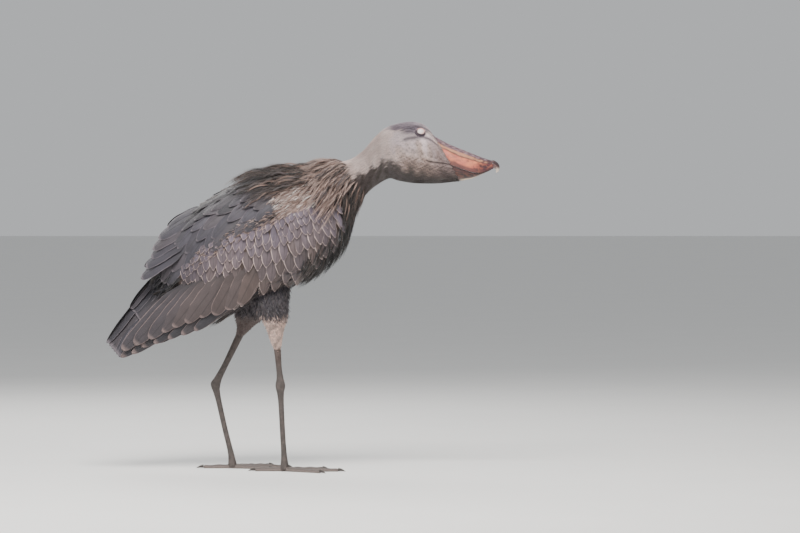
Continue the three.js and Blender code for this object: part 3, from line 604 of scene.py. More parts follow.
@dataclass
class Coat:
    """One visible piece made of many feathers or of a shaped surface, gathered and then built."""

    name: str
    slot: str
    nodes: tuple[str, ...] = ()
    parts: list = field(default_factory=list)

    def add(self, built: tuple, tint: Array) -> None:
        """Adds built feathers with one colour a feather, or one a vertex."""
        verts, faces, blade, bake = built
        tint = np.atleast_2d(np.asarray(tint, float))
        repeat = len(verts) // len(tint)
        self.parts.append((verts, faces, blade, bake, np.repeat(tint, repeat, 0)))

    def finish(self, material: bpy.types.Material, smooth_rim: bool = True) -> bpy.types.Object:
        starts = np.cumsum([0] + [len(part[0]) for part in self.parts])
        verts = np.concatenate([part[0] for part in self.parts])
        blade = np.concatenate([part[2] for part in self.parts])
        bake = np.concatenate([part[3] for part in self.parts])
        tint = np.concatenate([part[4] for part in self.parts])
        faces = [part[1] + start for part, start in zip(self.parts, starts)]
        corners = np.concatenate([rows.ravel() for rows in faces]).astype(np.int32)
        sizes = np.concatenate([np.full(len(rows), rows.shape[1]) for rows in faces])
        mesh = bpy.data.meshes.new(self.name)
        mesh.vertices.add(len(verts))
        mesh.vertices.foreach_set("co", verts.astype(np.float32).ravel())
        mesh.loops.add(len(corners))
        mesh.loops.foreach_set("vertex_index", corners)
        mesh.polygons.add(len(sizes))
        mesh.polygons.foreach_set("loop_start", np.append(0, np.cumsum(sizes)[:-1]).astype(np.int32))
        mesh.update(calc_edges=True)
        mesh.attributes.new("blade", "FLOAT_VECTOR", "POINT").data.foreach_set(
            "vector", blade.astype(np.float32).ravel()
        )
        rgba = np.concatenate([np.clip(tint, 0, 1), np.ones((len(tint), 1))], 1)
        mesh.attributes.new("tint", "FLOAT_COLOR", "POINT").data.foreach_set(
            "color", rgba.astype(np.float32).ravel()
        )
        layer = mesh.uv_layers.new(name=BAKE_MAP)
        layer.data.foreach_set("uv", bake[corners].astype(np.float32).ravel())
        if not smooth_rim:
            self.sharpen_rims(mesh, blade)
        mesh.materials.append(material)
        piece = bpy.data.objects.new(self.name, mesh)
        bpy.context.scene.collection.objects.link(piece)
        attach(piece, "root")
        if self.nodes:
            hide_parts(*self.nodes)
        LOG.info("%s: %d faces", self.name, len(sizes))
        return piece

    @staticmethod
    def sharpen_rims(mesh: bpy.types.Mesh, blade: Array) -> None:
        """Marks the rims of flat blades as sharp, so that their faces shade evenly."""
        ends = np.empty(2 * len(mesh.edges), np.int32)
        mesh.edges.foreach_get("vertices", ends)
        rim = np.abs(blade[:, 0]) > 0.999
        sharp = rim[ends].reshape(-1, 2).all(1)
        mesh.attributes.new("sharp_edge", "BOOLEAN", "EDGE").data.foreach_set("value", sharp)


def sheet(points: Array, tint: Array, wrap: bool, caps: bool = True) -> tuple[tuple, Array]:
    """A closed tube or a patch from a grid of points.

    Args:
        points: Rows of points, as rows by columns by 3.
        tint: One colour a point, in the same grid.
        wrap: Whether the last column joins the first.
        caps: Whether both ends are closed by a fan.
    Returns:
        What Coat.add takes: the built surface, and its colours.
    """
    rows, columns = points.shape[:2]
    number = np.arange(rows * columns).reshape(rows, columns)
    right = np.roll(number, -1, 1) if wrap else number[:, 1:]
    left = number if wrap else number[:, :-1]
    quads = np.stack([left[:-1], right[:-1], right[1:], left[1:]], -1).reshape(-1, 4)
    verts, colours = points.reshape(-1, 3), tint.reshape(-1, 3)
    u, v = np.meshgrid(np.linspace(0, 1, columns), np.linspace(0, 1, rows))
    blade = np.stack([u, v, np.full_like(u, 0.5)], -1).reshape(-1, 3)
    faces = [quads[:, [0, 1, 2]], quads[:, [0, 2, 3]]]
    if caps:
        for row, flip in ((0, False), (rows - 1, True)):
            hub = len(verts)
            verts = np.vstack([verts, points[row].mean(0)])
            colours = np.vstack([colours, tint[row].mean(0)])
            blade = np.vstack([blade, [0.5, row / (rows - 1), 0.5]])
            ring = np.stack([np.roll(number[row], -1), number[row], np.full(columns, hub)], -1)
            faces.append(ring[:, ::-1] if flip else ring)
    bake = 0.05 + 0.9 * blade[:, :2]
    return (verts, np.concatenate(faces), blade, bake), colours


class Kind(Enum):
    """What a Math node does."""

    ADD = "ADD"
    SUBTRACT = "SUBTRACT"
    MULTIPLY = "MULTIPLY"
    ABSOLUTE = "ABSOLUTE"
    SINE = "SINE"


@dataclass
class Shade:
    """A number on a shader socket, used in Python expressions."""

    maker: "Shader"
    socket: bpy.types.NodeSocket

    def _math(self, kind: Kind, *values: object) -> "Shade":
        """Adds a Math node over one or two numbers or sockets."""
        settings = {"operation": kind.value}
        return self.maker.number("ShaderNodeMath", settings, dict(enumerate(values)))

    def __add__(self, other: object) -> "Shade":
        """The sum."""
        return self._math(Kind.ADD, self, other)

    __radd__ = __add__

    def __sub__(self, other: object) -> "Shade":
        """The difference."""
        return self._math(Kind.SUBTRACT, self, other)

    def __rsub__(self, other: object) -> "Shade":
        """The difference the other way round."""
        return self._math(Kind.SUBTRACT, other, self)

    def __mul__(self, other: object) -> "Shade":
        """The product."""
        return self._math(Kind.MULTIPLY, self, other)

    __rmul__ = __mul__

    def __abs__(self) -> "Shade":
        """The size without its sign."""
        return self._math(Kind.ABSOLUTE, self)

    def sine(self) -> "Shade":
        """The sine."""
        return self._math(Kind.SINE, self)

    def ease(self, low: float, high: float) -> "Shade":
        """Eases from 0 at low to 1 at high."""
        settings = {"interpolation_type": "SMOOTHSTEP"}
        return self.maker.number(
            "ShaderNodeMapRange", settings, {"Value": self, "From Min": low, "From Max": high}
        )


class Shader:
    """Builds one material's nodes."""

    def __init__(self, name: str) -> None:
        """Starts an empty material with one surface shader."""
        self.material = bpy.data.materials.new(name)
        self.material.use_nodes = True
        self.tree = self.material.node_tree
        self.surface = next(n for n in self.tree.nodes if n.type == "BSDF_PRINCIPLED")

    def node(self, kind: str, settings: dict, inputs: dict) -> bpy.types.Node:
        """Adds a node.

        Args:
            kind: The node's type.
            settings: Its own settings, such as an operation, which are set first.
            inputs: Values or links of its sockets, by name or number.
        Returns:
            The node.
        """
        node = self.tree.nodes.new(kind)
        for key, value in settings.items():
            setattr(node, key, value)
        for key, value in inputs.items():
            self.feed(node.inputs[key], value)
        return node

    def feed(self, socket: bpy.types.NodeSocket, value: object) -> None:
        """Links a socket, or sets its own value."""
        source = value.socket if isinstance(value, Shade) else value
        if isinstance(source, bpy.types.NodeSocket):
            self.tree.links.new(source, socket)
        elif isinstance(source, tuple) and len(source) == 3 and socket.type == "RGBA":
            socket.default_value = (*source, 1)
        else:
            socket.default_value = source

    def number(self, kind: str, settings: dict, inputs: dict, output: int | str = 0) -> Shade:
        """Adds a node and takes one output of it as a number."""
        return Shade(self, self.node(kind, settings, inputs).outputs[output])

    def tint(self) -> bpy.types.NodeSocket:
        """The colour that the mesh carries."""
        return self.node("ShaderNodeAttribute", {"attribute_name": "tint"}, {}).outputs["Color"]

    def blade(self) -> tuple[Shade, Shade, Shade]:
        """The mesh's coordinates across and along a feather, and its feather's own random number."""
        vector = self.node("ShaderNodeAttribute", {"attribute_name": "blade"}, {}).outputs["Vector"]
        node = self.node("ShaderNodeSeparateXYZ", {}, {0: vector})
        return tuple(Shade(self, output) for output in node.outputs)

    def place(self) -> bpy.types.NodeSocket:
        """The place on the object, in metres."""
        return self.node("ShaderNodeTexCoord", {}, {}).outputs["Object"]

    def noise(self, scale: float, detail: float = 3, roughness: float = 0.6) -> Shade:
        """Noise over the object's own place, from 0 to 1."""
        inputs = {"Vector": self.place(), "Scale": scale, "Detail": detail, "Roughness": roughness}
        return self.number("ShaderNodeTexNoise", {}, inputs, "Fac")

    def cells(self, scale: float) -> Shade:
        """Distance to the borders of random cells."""
        settings, inputs = {"feature": "DISTANCE_TO_EDGE"}, {"Vector": self.place(), "Scale": scale}
        return self.number("ShaderNodeTexVoronoi", settings, inputs, "Distance")

    def mix(self, share: object, first: object, second: object, kind: str = "MIX") -> Shade:
        """A mix of two colours."""
        settings = {"data_type": "RGBA", "blend_type": kind, "clamp_factor": True}
        node = self.node("ShaderNodeMix", settings, {0: share, 6: first, 7: second})
        return Shade(self, node.outputs[2])

    def darken(self, colour: object, by: Colour) -> Shade:
        """A colour times another."""
        return self.mix(1.0, colour, by, "MULTIPLY")

    def bump(self, height: Shade, distance: float, strength: float = 1.0) -> None:
        """Raises the surface's shading by a height."""
        inputs = {"Height": height, "Distance": distance, "Strength": strength}
        normal = self.node("ShaderNodeBump", {}, inputs).outputs["Normal"]
        self.feed(self.surface.inputs["Normal"], normal)

    def dress(self, **sockets: object) -> bpy.types.Material:
        """Feeds the surface shader's sockets, named with _ for spaces, and returns the material."""
        for name, value in sockets.items():
            self.feed(self.surface.inputs[name.replace("_", " ")], value)
        return self.material


@dataclass(frozen=True)
class VaneFinish:
    """Firm feathers: a dark shaft, fine slanting barbs and a paler rim, over the feather's colour."""

    name: str
    rim: Colour
    rim_share: float
    rim_start: float = 0.8
    shade: Colour = (0.35, 0.32, 0.33)
    roughness: float = 0.55
    sheen: float = 0.06

    def make(self) -> bpy.types.Material:
        """Builds the material."""
        s = Shader(self.name)
        tint = s.tint()
        u, v, chance = s.blade()
        edge = abs(u)
        barbs = (v * 90 + edge * -26 + chance * 40).sine() * 0.5 + 0.5
        fine = (v * 230 + edge * -70 + s.noise(90) * 9).sine() * 0.5 + 0.5
        cloud = s.noise(38, 4)
        colour = s.mix(cloud.ease(0.35, 0.7) * 0.3, tint, s.darken(tint, self.shade))
        colour = s.mix(chance.ease(0.5, 1.0) * 0.15, colour, DUN)
        colour = s.mix(barbs * 0.1 + fine * 0.12 + (1 - v.ease(0.0, 0.5)) * 0.35, colour, BLACK)
        shaft = 1 - edge.ease(0.02, 0.1)
        colour = s.mix(shaft * 0.5, colour, BLACK)
        rim = edge.ease(self.rim_start, 0.97) + v.ease(0.93, 0.985)
        worn = s.noise(150, 2).ease(0.25, 0.6) * 0.5 + 0.5
        colour = s.mix(rim * v.ease(0.2, 0.5) * worn * self.rim_share, colour, self.rim)
        s.bump(barbs * 0.35 + fine * 0.45 - shaft * 0.8, 0.0006, 0.8)
        rough = cloud * 0.25 + (self.roughness - 0.1)
        return s.dress(Base_Color=colour, Roughness=rough, Sheen_Weight=self.sheen)


@dataclass(frozen=True)
class DownFinish:
    """Soft tufts and plumes: darker at the root, paler at the tip, each a little different."""

    name: str
    spread: float = 0.35
    root_shade: float = 0.5
    shade: Colour = (0.45, 0.41, 0.41)
    pale: Colour = (0.85, 0.72, 0.66)
    sheen: float = 0.12

    def make(self) -> bpy.types.Material:
        """Builds the material."""
        s = Shader(self.name)
        tint = s.tint()
        _, v, chance = s.blade()
        dark = s.darken(tint, self.shade)
        light = s.mix(0.15, tint, self.pale)
        colour = s.mix(v.ease(0.0, 0.55) * self.root_shade + (1 - self.root_shade), dark, tint)
        colour = s.mix(chance.ease(0.5, 1.0) * self.spread, colour, light)
        colour = s.mix((1 - chance.ease(0.0, 0.4)) * self.spread, colour, dark)
        rough = chance * 0.15 + 0.7
        return s.dress(Base_Color=colour, Roughness=rough, Sheen_Weight=self.sheen)


@dataclass(frozen=True)
class SkinFinish:
    """The skin beneath the coat, in the coat's own markings and a little darker."""

    name: str = "skin"
    shade: Colour = (0.3, 0.27, 0.27)

    def make(self) -> bpy.types.Material:
        """Builds the material."""
        s = Shader(self.name)
        tint = s.tint()
        streak = s.noise(420, 2)
        cloud = s.noise(60, 4)
        colour = s.mix(streak.ease(0.35, 0.65) * 0.3, tint, s.darken(tint, self.shade))
        colour = s.mix(cloud * 0.2, colour, UMBER)
        s.bump(streak * 0.6 + cloud * 0.4, 0.0012, 0.9)
        return s.dress(Base_Color=colour, Roughness=cloud * 0.2 + 0.7)


@dataclass(frozen=True)
class HornFinish:
    """The bill's horn: its zones are in the tint, with dark blotches, fine scratches and pores."""

    name: str = "horn"
    blotches: Colour = (0.05, 0.03, 0.032)
    flecks: Colour = (0.1, 0.04, 0.04)
    worn: Colour = (0.55, 0.26, 0.16)

    def make(self) -> bpy.types.Material:
        """Builds the material."""
        s = Shader(self.name)
        tint = s.tint()
        _, _, dark_share = s.blade()
        blotch = s.noise(75, 6, 0.7)
        small = s.noise(260, 4, 0.65)
        colour = s.mix(blotch.ease(0.5, 0.62) * dark_share, tint, self.blotches)
        colour = s.mix(small.ease(0.5, 0.72) * 0.45, colour, self.flecks)
        colour = s.mix((1 - blotch.ease(0.3, 0.46)) * 0.2, colour, self.worn)
        s.bump(small * 0.5 + blotch * 0.5, 0.0007, 0.7)
        return s.dress(Base_Color=colour, Roughness=small * 0.25 + 0.3)


@dataclass(frozen=True)
class ScuteFinish:
    """Dull scaled skin of legs and toes, with dark seams between small cells."""

    name: str = "leg_skin"
    seams: Colour = (0.03, 0.024, 0.022)
    patches: Colour = (0.2, 0.155, 0.14)

    def make(self) -> bpy.types.Material:
        """Builds the material."""
        s = Shader(self.name)
        tint = s.tint()
        cell = s.cells(420)
        cloud = s.noise(70, 4)
        seam = 1 - cell.ease(0.0, 0.12)
        colour = s.mix(seam * 0.55, tint, self.seams)
        colour = s.mix(cloud.ease(0.4, 0.7) * 0.25, colour, self.patches)
        s.bump(cell.ease(0.0, 0.3) + cloud * 0.3, 0.0006, 0.9)
        return s.dress(Base_Color=colour, Roughness=cloud * 0.25 + 0.45)


@dataclass(frozen=True)
class EyeFinish:
    """The third eyelid drawn over the eye: a wet pale film with faint pink vessels."""

    name: str = "membrane"
    film: Colour = (0.45, 0.42, 0.44)
    gloss: float = 0.06

    def make(self) -> bpy.types.Material:
        """Builds the material."""
        s = Shader(self.name)
        tint = s.tint()
        vessel = s.noise(520, 5, 0.75)
        cloud = s.noise(130, 3)
        colour = s.mix(vessel.ease(0.55, 0.7) * 0.35, tint, VESSEL)
        colour = s.mix(cloud.ease(0.4, 0.7) * 0.25, colour, self.film)
        s.bump(vessel * 0.4 + cloud * 0.6, 0.0003, 0.5)
        wet = {"Coat_Weight": vessel * 0.1 + 0.25, "Coat_Roughness": self.gloss}
        return s.dress(Base_Color=colour, Roughness=cloud * 0.1 + 0.3, **wet)


@dataclass(frozen=True)
class ClawFinish:
    """Dark ridged claw horn, paler towards its worn tip."""

    name: str = "claw_horn"
    dark: Colour = (0.025, 0.02, 0.018)
    worn: Colour = (0.16, 0.13, 0.11)

    def make(self) -> bpy.types.Material:
        """Builds the material."""
        s = Shader(self.name)
        _, v, _ = s.blade()
        grain = s.noise(300, 4)
        colour = s.mix(v.ease(0.5, 1.0) * 0.5 + grain * 0.2, self.dark, self.worn)
        s.bump(grain, 0.0004, 0.6)
        return s.dress(Base_Color=colour, Roughness=grain * 0.2 + 0.32)


@dataclass(frozen=True)
class FloorFinish:
    """A plain pale studio floor."""

    name: str = "studio_floor"
    low: Colour = (0.72, 0.72, 0.71)
    high: Colour = (0.76, 0.76, 0.75)

    def make(self) -> bpy.types.Material:
        """Builds the material."""
        s = Shader(self.name)
        grain = s.noise(3, 2)
        colour = s.mix(grain, self.low, self.high)
        return s.dress(Base_Color=colour, Roughness=grain * 0.1 + 0.7)


DOWN = DownFinish("down").make()
WING_SKIN = SkinFinish("wing_bed_skin").make()
SHORT_DOWN = DownFinish("short_feathers", 0.2, 0.15).make()
COVERT_VANE = VaneFinish("covert_vane", (0.58, 0.45, 0.42), 1.0, 0.8).make()
DARK_VANE = VaneFinish("flight_vane", (0.24, 0.17, 0.16), 0.7, 0.9).make()
SLATE_VANE = VaneFinish("slate_vane", (0.24, 0.2, 0.225), 0.5, 0.9).make()


@dataclass
class Skin:
    """One skin for trunk, neck, head and thighs, sunk by the depth of the coat."""

    rings: int = 300
    turns: int = 160
    depths: tuple = ((0, 14), (7.4, 12), (8.6, 9), (9.5, 6), (12, 4), (13, 2.2), (16, 1.2))

    def depth(self, ring: Array) -> Array:
        """How deep the coat lies at a ring."""
        places, depths = zip(*self.depths)
        return np.interp(ring, places, depths)

    def build(self) -> None:
        """Makes the skin and hides the model's parts that it stands for."""
        coat = Coat("skin", "plumage_pale", ("head", "neck", "torso", "thigh_right", "thigh_left"))
        ring, turn = np.meshgrid(
            np.linspace(0, 16, self.rings), np.linspace(-math.pi, math.pi, self.turns, endpoint=False),
            indexing="ij",
        )
        points = BODY.surface(ring.ravel(), turn.ravel(), -self.depth(ring.ravel()))
        tint = Markings.skin(ring.ravel(), turn.ravel())
        shape = (*ring.shape, 3)
        coat.add(*sheet(points.reshape(shape), tint.reshape(shape), wrap=True))
        for leg in LEGS:
            coat.add(*leg.thigh_sheet())
        coat.finish(SkinFinish().make())


@dataclass
class Eyes:
    """Eyeballs under their third eyelids, each with a fold of lid round it."""

    opening: tuple[float, float] = (10.4, 8.2)
    rim: float = 2.4
    skirt: float = 6.0
    ahead: tuple[float, float, float] = (1.0, 0.0, -0.25)
    membrane: Colour = (0.7, 0.63, 0.61)
    lens: Colour = (0.48, 0.43, 0.46)
    corner: Colour = (0.66, 0.38, 0.33)
    lid_slate: Colour = (0.045, 0.033, 0.048)
    lid_pink: Colour = (0.8, 0.42, 0.38)
    lid_low: Colour = (0.07, 0.04, 0.05)
    lid_lilac: Colour = (0.5, 0.36, 0.4)
    # painted shade for the crease of the lid fold
    lid_crease_shade: Colour = (0.03, 0.02, 0.03)

    def build(self) -> None:
        """Makes both eyes and their lids."""
        for side, name in SIDES.items():
            self.ball(side, name)
            self.lids(side, name)

    def axes(self, side: int) -> tuple[Array, Array, Array, Array]:
        """The eye's middle, and its forward, upward and outward directions."""
        _, _, out = BODY.axes(np.array(BODY.eye_at[0]), np.array(side * BODY.eye_at[1]))
        ahead = np.array(self.ahead)
        ahead = unit(ahead - out * ahead.dot(out))
        up = np.cross(ahead, out) * -side
        return BODY.model(BODY.eye_centre(side)), ahead, unit(up * np.sign(up[2])), out

    def ball(self, side: int, name: str) -> None:
        """The eyeball with a low bulge over the lens."""
        centre, ahead, up, out = self.axes(side)
        polar = np.linspace(0.02, math.pi - 0.02, 48)
        around = np.linspace(0, 2 * math.pi, 64, endpoint=False)
        p, a = np.meshgrid(polar, around, indexing="ij")
        radius = BODY.eye_radius * MM * (0.985 + 0.035 * bell(p, 0, 0.5))
        local = np.stack([np.sin(p) * np.cos(a), np.sin(p) * np.sin(a) * side, np.cos(p)], -1)
        points = centre + radius[..., None] * (
            local[..., :1] * ahead + local[..., 1:2] * up + local[..., 2:] * out
        )
        tint = blend(self.membrane, self.lens, 0.6 * bell(p, 0, 0.42))
        # the warm pink front corner of the membrane, partly its own colour and partly painted shade
        corner = smooth(local[..., 0] - 0.6 * local[..., 1] * side, 0.25, 0.75)
        tint = blend(tint, self.corner, 0.7 * corner)
        coat = Coat(f"eye_membrane_{name}", "eye", (f"eye_{name}",))
        coat.add(*sheet(points[::side], tint[::side], wrap=True))
        coat.finish(EyeFinish(f"membrane_{name}").make())

    def lids(self, side: int, name: str) -> None:
        """A rounded fold that rises at the opening and sinks into the skin."""
        centre, ahead, up, out = self.axes(side)
        s, a = round_grid(14, 96)
        upper = smooth(np.sin(a), -0.2, 0.6)
        wide = self.opening[0] * (1 - 0.06 * np.cos(2 * a))
        high = self.opening[1] * (1 - 0.1 * upper)
        reach = s**1.15 * (self.rim + self.skirt)
        x = (wide + reach) * np.cos(a)
        y = (high + reach * 0.95) * np.sin(a)
        sphere = np.sqrt(np.maximum((BODY.eye_radius * 1.01) ** 2 - x**2 - y**2, 9))
        fold = self.rim * (0.45 + 0.5 * upper) * bell(s, 0.16, 0.16)
        crease = -1.1 * bell(s, 0.42, 0.08) * (0.4 + upper)
        flat = BODY.eye_radius - BODY.eye_proud - 1.2 - 3.4 * s**2
        height = (sphere**8 + flat**8) ** 0.125 + 0.15
        height = height + fold + crease + 0.35 * np.sin(9 * a + 6 * s) * s
        points = centre + MM * (x[..., None] * ahead + y[..., None] * up + height[..., None] * out)
        wet = 1 - smooth(s, 0.24, 0.36)
        tint = blend(self.lid_slate, self.lid_pink, wet * upper)
        tint = blend(tint, self.lid_low, wet * (1 - upper))
        tint = blend(tint, self.lid_lilac, 0.6 * upper * bell(s, 0.62, 0.12))
        # painted shade: a dark line along the crease of the lid fold
        tint = blend(tint, self.lid_crease_shade, 0.85 * bell(s, 0.42, 0.08))
        inner = points[0] - out * 0.004
        outer = points[-1] - out * 0.005
        points = np.concatenate([inner[None], points, outer[None]])
        tint = np.concatenate([tint[:1], tint, tint[-1:]])
        coat = Coat(f"eyelids_{name}", "plumage_pale")
        grid, shade = (points[::-1], tint[::-1]) if side == RIGHT else (points, tint)
        ring = np.concatenate([grid, grid[:1]])
        coat.add(*sheet(ring, np.concatenate([shade, shade[:1]]), wrap=True, caps=False))
        coat.finish(SkinFinish(f"lid_skin_{name}").make())


@dataclass
class Bill:
    """The great bill: upper part with ridge, grooves and hook, and the lower part beneath it."""

    culmen: tuple = ((410, 911), (457, 892), (503, 874), (533, 865))
    edge: tuple = ((446, 842), (480, 832), (508, 834), (532, 843))
    rim: tuple = ((455, 812), (478, 818), (503, 829), (522, 838))
    half: tuple = (51, 51, 46, 34, 18)
    face: tuple = ((367, 933), (436, 809))
    mouth_share: float = 0.63
    gap: float = 0.3
    mouth_gap: float = 1.0
    ridge_turn: float = 0.66
    groove_turn: float = 0.93
    spots: tuple = ((0.68, 1.2, 0.035, 0.12), (0.8, 1.25, 0.07, 0.2), (0.9, 0.5, 0.05, 0.3))
    nail_path: tuple = ((512, 857), (531, 855), (541, 850), (544, 841), (541, 832))
    nail_shares: tuple = (0, 0.25, 0.5, 0.75, 0.9, 1)
    nail_wide: tuple = (14, 17, 12, 6.5, 3.6, 0.6)
    nail_deep: tuple = (8, 11.2, 8.4, 5.2, 3, 0.5)
    pink: Colour = (0.45, 0.12, 0.08)
    orange: Colour = (0.62, 0.2, 0.095)
    red: Colour = (0.2, 0.045, 0.045)
    tan: Colour = (0.42, 0.22, 0.135)
    ridge_dark: Colour = (0.055, 0.034, 0.054)
    ridge_pale: Colour = (0.25, 0.17, 0.195)
    # painted shade for the groove in the side of the upper bill
    groove_shade: Colour = (0.035, 0.018, 0.02)
    slit_shade: Colour = (0.01, 0.008, 0.01)
    mouth_dark: Colour = (0.07, 0.032, 0.035)
    spot_dark: Colour = (0.03, 0.014, 0.02)
    front_dark: Colour = (0.055, 0.026, 0.034)
    nail_root: Colour = (0.16, 0.09, 0.085)
    nail_pale: Colour = (0.7, 0.58, 0.5)
    nail_dark: Colour = (0.03, 0.018, 0.022)
    lower_dark: Colour = (0.018, 0.006, 0.007)
    lower_streak: Colour = (0.1, 0.034, 0.022)
    lower_rim: Colour = (0.68, 0.5, 0.33)
    lower_mouth: Colour = (0.05, 0.02, 0.02)

    def __post_init__(self) -> None:
        """Works out the curves from the slanted face plane."""
        top, under = (np.array(p, float) for p in self.face)
        out = np.array([top[1] - under[1], under[0] - top[0]])
        out /= np.linalg.norm(out)
        start = [top + (under - top) * share + out * self.gap for share in (0, self.mouth_share, 1)]
        self.curves = [
            np.vstack([first, rest]) for first, rest in zip(start, (self.culmen, self.edge, self.rim))
        ]

    def mandible(self, upper: bool, rows: int = 90, columns: int = 128) -> tuple[Array, Array, Array]:
        """One mandible as a grid of points, with each point's share along it and its turn."""
        length = 1.0 if upper else 0.94
        share = np.linspace(0, length, rows)[:, None]
        turn = np.linspace(-math.pi, math.pi, columns, endpoint=False)[None, :]
        share, turn = np.broadcast_arrays(share, turn)
        crest = spline(self.curves[0 if upper else 2], share * 4)
        edge = spline(self.curves[1], share * 4)
        half = spline(np.array(self.half, float)[:, None], share * 4)[..., 0] - (0 if upper else 2.5)
        rise = crest - edge
        height = np.linalg.norm(rise, axis=-1)
        arch = np.maximum(0, np.cos(turn)) ** 0.8
        bend = np.abs(turn)
        if upper:
            ridge = 2.2 * np.cos(np.clip(6 * turn, -math.pi, math.pi)) * (1 - share)
            groove = -2.6 * bell(bend, self.groove_turn, 0.05) * (1 - smooth(share, 0.85, 0.97))
            lip = 0.8 * bell(bend, 1.5, 0.1)
            height = height + ridge + groove + lip
        level = self.mouth_gap / 2 + (height - self.mouth_gap / 2) * arch
        direction = rise / np.linalg.norm(rise, axis=-1, keepdims=True)
        place = edge + direction * level[..., None]
        side = np.sign(np.sin(turn)) * np.abs(np.sin(turn)) ** 0.8
        points = np.stack([place[..., 0], -half * side, place[..., 1]], -1)
        return points, share, turn

    def build(self) -> None:
        """Makes both parts of the bill."""
        self.upper()
        self.lower()

    def upper(self) -> None:
        """The upper part, with its hook and nostril slits."""
        points, share, turn = self.mandible(True)
        bend = np.abs(turn)
        slit = bell(share, 0.1, 0.07) * bell(bend, self.ridge_turn, 0.045)
        points[..., 1] *= 1 - 0.1 * slit
        points[..., 2] -= 2.4 * slit
        bend = bend + 0.07 * (mottle(points, 24, 11) - 0.5)
        tint = blend(self.pink, self.orange, mottle(points, 30, 12))
        reddened = smooth(share, 0.4, 0.8) * smooth(mottle(points, 20, 14), 0.3, 0.6)
        tint = blend(tint, self.red, 0.85 * reddened)
        pale = between(bend, self.ridge_turn, self.groove_turn, 0.04)
        tint = blend(tint, self.tan, 0.85 * pale)
        band = 1 - smooth(bend, self.ridge_turn - 0.06, self.ridge_turn + 0.06)
        streaks = smooth(mottle(points, 6, 15, 4), 0.35, 0.7)
        tint = blend(tint, blend(self.ridge_dark, self.ridge_pale, streaks), 0.95 * band)
        # painted shade: a dark line along the groove in the side of the upper bill
        line = bell(bend, self.groove_turn, 0.045) * (1 - smooth(share, 0.9, 0.98))
        tint = blend(tint, self.groove_shade, 0.9 * line)
        # painted shade in the sunken nostril slits
        tint = blend(tint, self.slit_shade, slit)
        tint = blend(tint, self.mouth_dark, 0.85 * between(bend, 1.45, 3.2, 0.1))
        for centre, turn_at, long, wide in self.spots:
            spot = bell(share, centre, long) * bell(bend, turn_at, wide)
            tint = blend(tint, self.spot_dark, np.clip(1.1 * spot, 0, 0.92))
        blotchy = np.clip(0.35 + 0.5 * smooth(share, 0.3, 0.8) - 0.3 * pale, 0, 1)
        front = smooth(share + 0.3 * (mottle(points, 14, 16) - 0.5), 0.68, 0.92)
        tint = blend(tint, self.front_dark, 0.85 * front)
        coat = Coat("bill_upper_horn", "horn", ("bill_upper",))
        built, colours = sheet(BODY.model(points), tint, wrap=True)
        built[2][: blotchy.size, 2] = blotchy.ravel()
        coat.add(built, colours)
        coat.add(*self.hook())
        coat.finish(HornFinish("horn_upper").make())

    def hook(self) -> tuple[tuple, Array]:
        """The nail that curves down over the tip of the lower part."""
        path = np.array(self.nail_path, float)
        share, turn = round_grid(48, 48)
        middle = spline(path, share * 4)
        ahead = spline(path, np.minimum(share * 4 + 0.05, 4)) - spline(path, share * 4 - 0.05)
        ahead /= np.linalg.norm(ahead, axis=-1, keepdims=True)
        wide = np.interp(share, self.nail_shares, self.nail_wide)
        deep = np.interp(share, self.nail_shares, self.nail_deep)
        ridge = 1 + 0.12 * np.exp(-((turn - math.pi / 2) ** 2) / 0.1)
        out = np.stack([-ahead[..., 1], ahead[..., 0]], -1)
        place = middle + out * (deep * np.sin(turn) * ridge)[..., None]
        points = np.stack([place[..., 0], wide * np.cos(turn), place[..., 1]], -1)
        tint = blend(self.nail_root, self.nail_pale, smooth(share, 0.5, 0.78))
        upper = smooth(np.sin(turn), -0.1, 0.5)
        tint = blend(tint, self.nail_dark, 0.93 * upper * (1 - smooth(share, 0.52, 0.74)))
        built, colours = sheet(BODY.model(points), tint, wrap=True)
        built[2][:, 2] = 0.15
        return built, colours

    def lower(self) -> None:
        """The lower part, dark brown with a pale yellowish rim beneath."""
        points, share, turn = self.mandible(False)
        bend = np.abs(turn)
        streaks = smooth(mottle(points, 5, 13, 4), 0.35, 0.75)
        tint = blend(self.lower_dark, self.lower_streak, streaks)
        rim = 1 - smooth(bend, 0.5, 0.66)
        tint = blend(tint, self.lower_rim, 0.9 * rim * smooth(share, 0.02, 0.2))
        tint = blend(tint, self.lower_mouth, 0.8 * between(bend, 1.4, 3.2, 0.15))
        coat = Coat("bill_lower_horn", "horn", ("bill_lower",))
        built, colours = sheet(BODY.model(points), tint, wrap=True)
        grid = (built[0], built[1][:, ::-1], built[2], built[3])
        grid[2][:, 2] = 0.35
        coat.add(grid, colours)
        coat.finish(HornFinish("horn_lower").make())


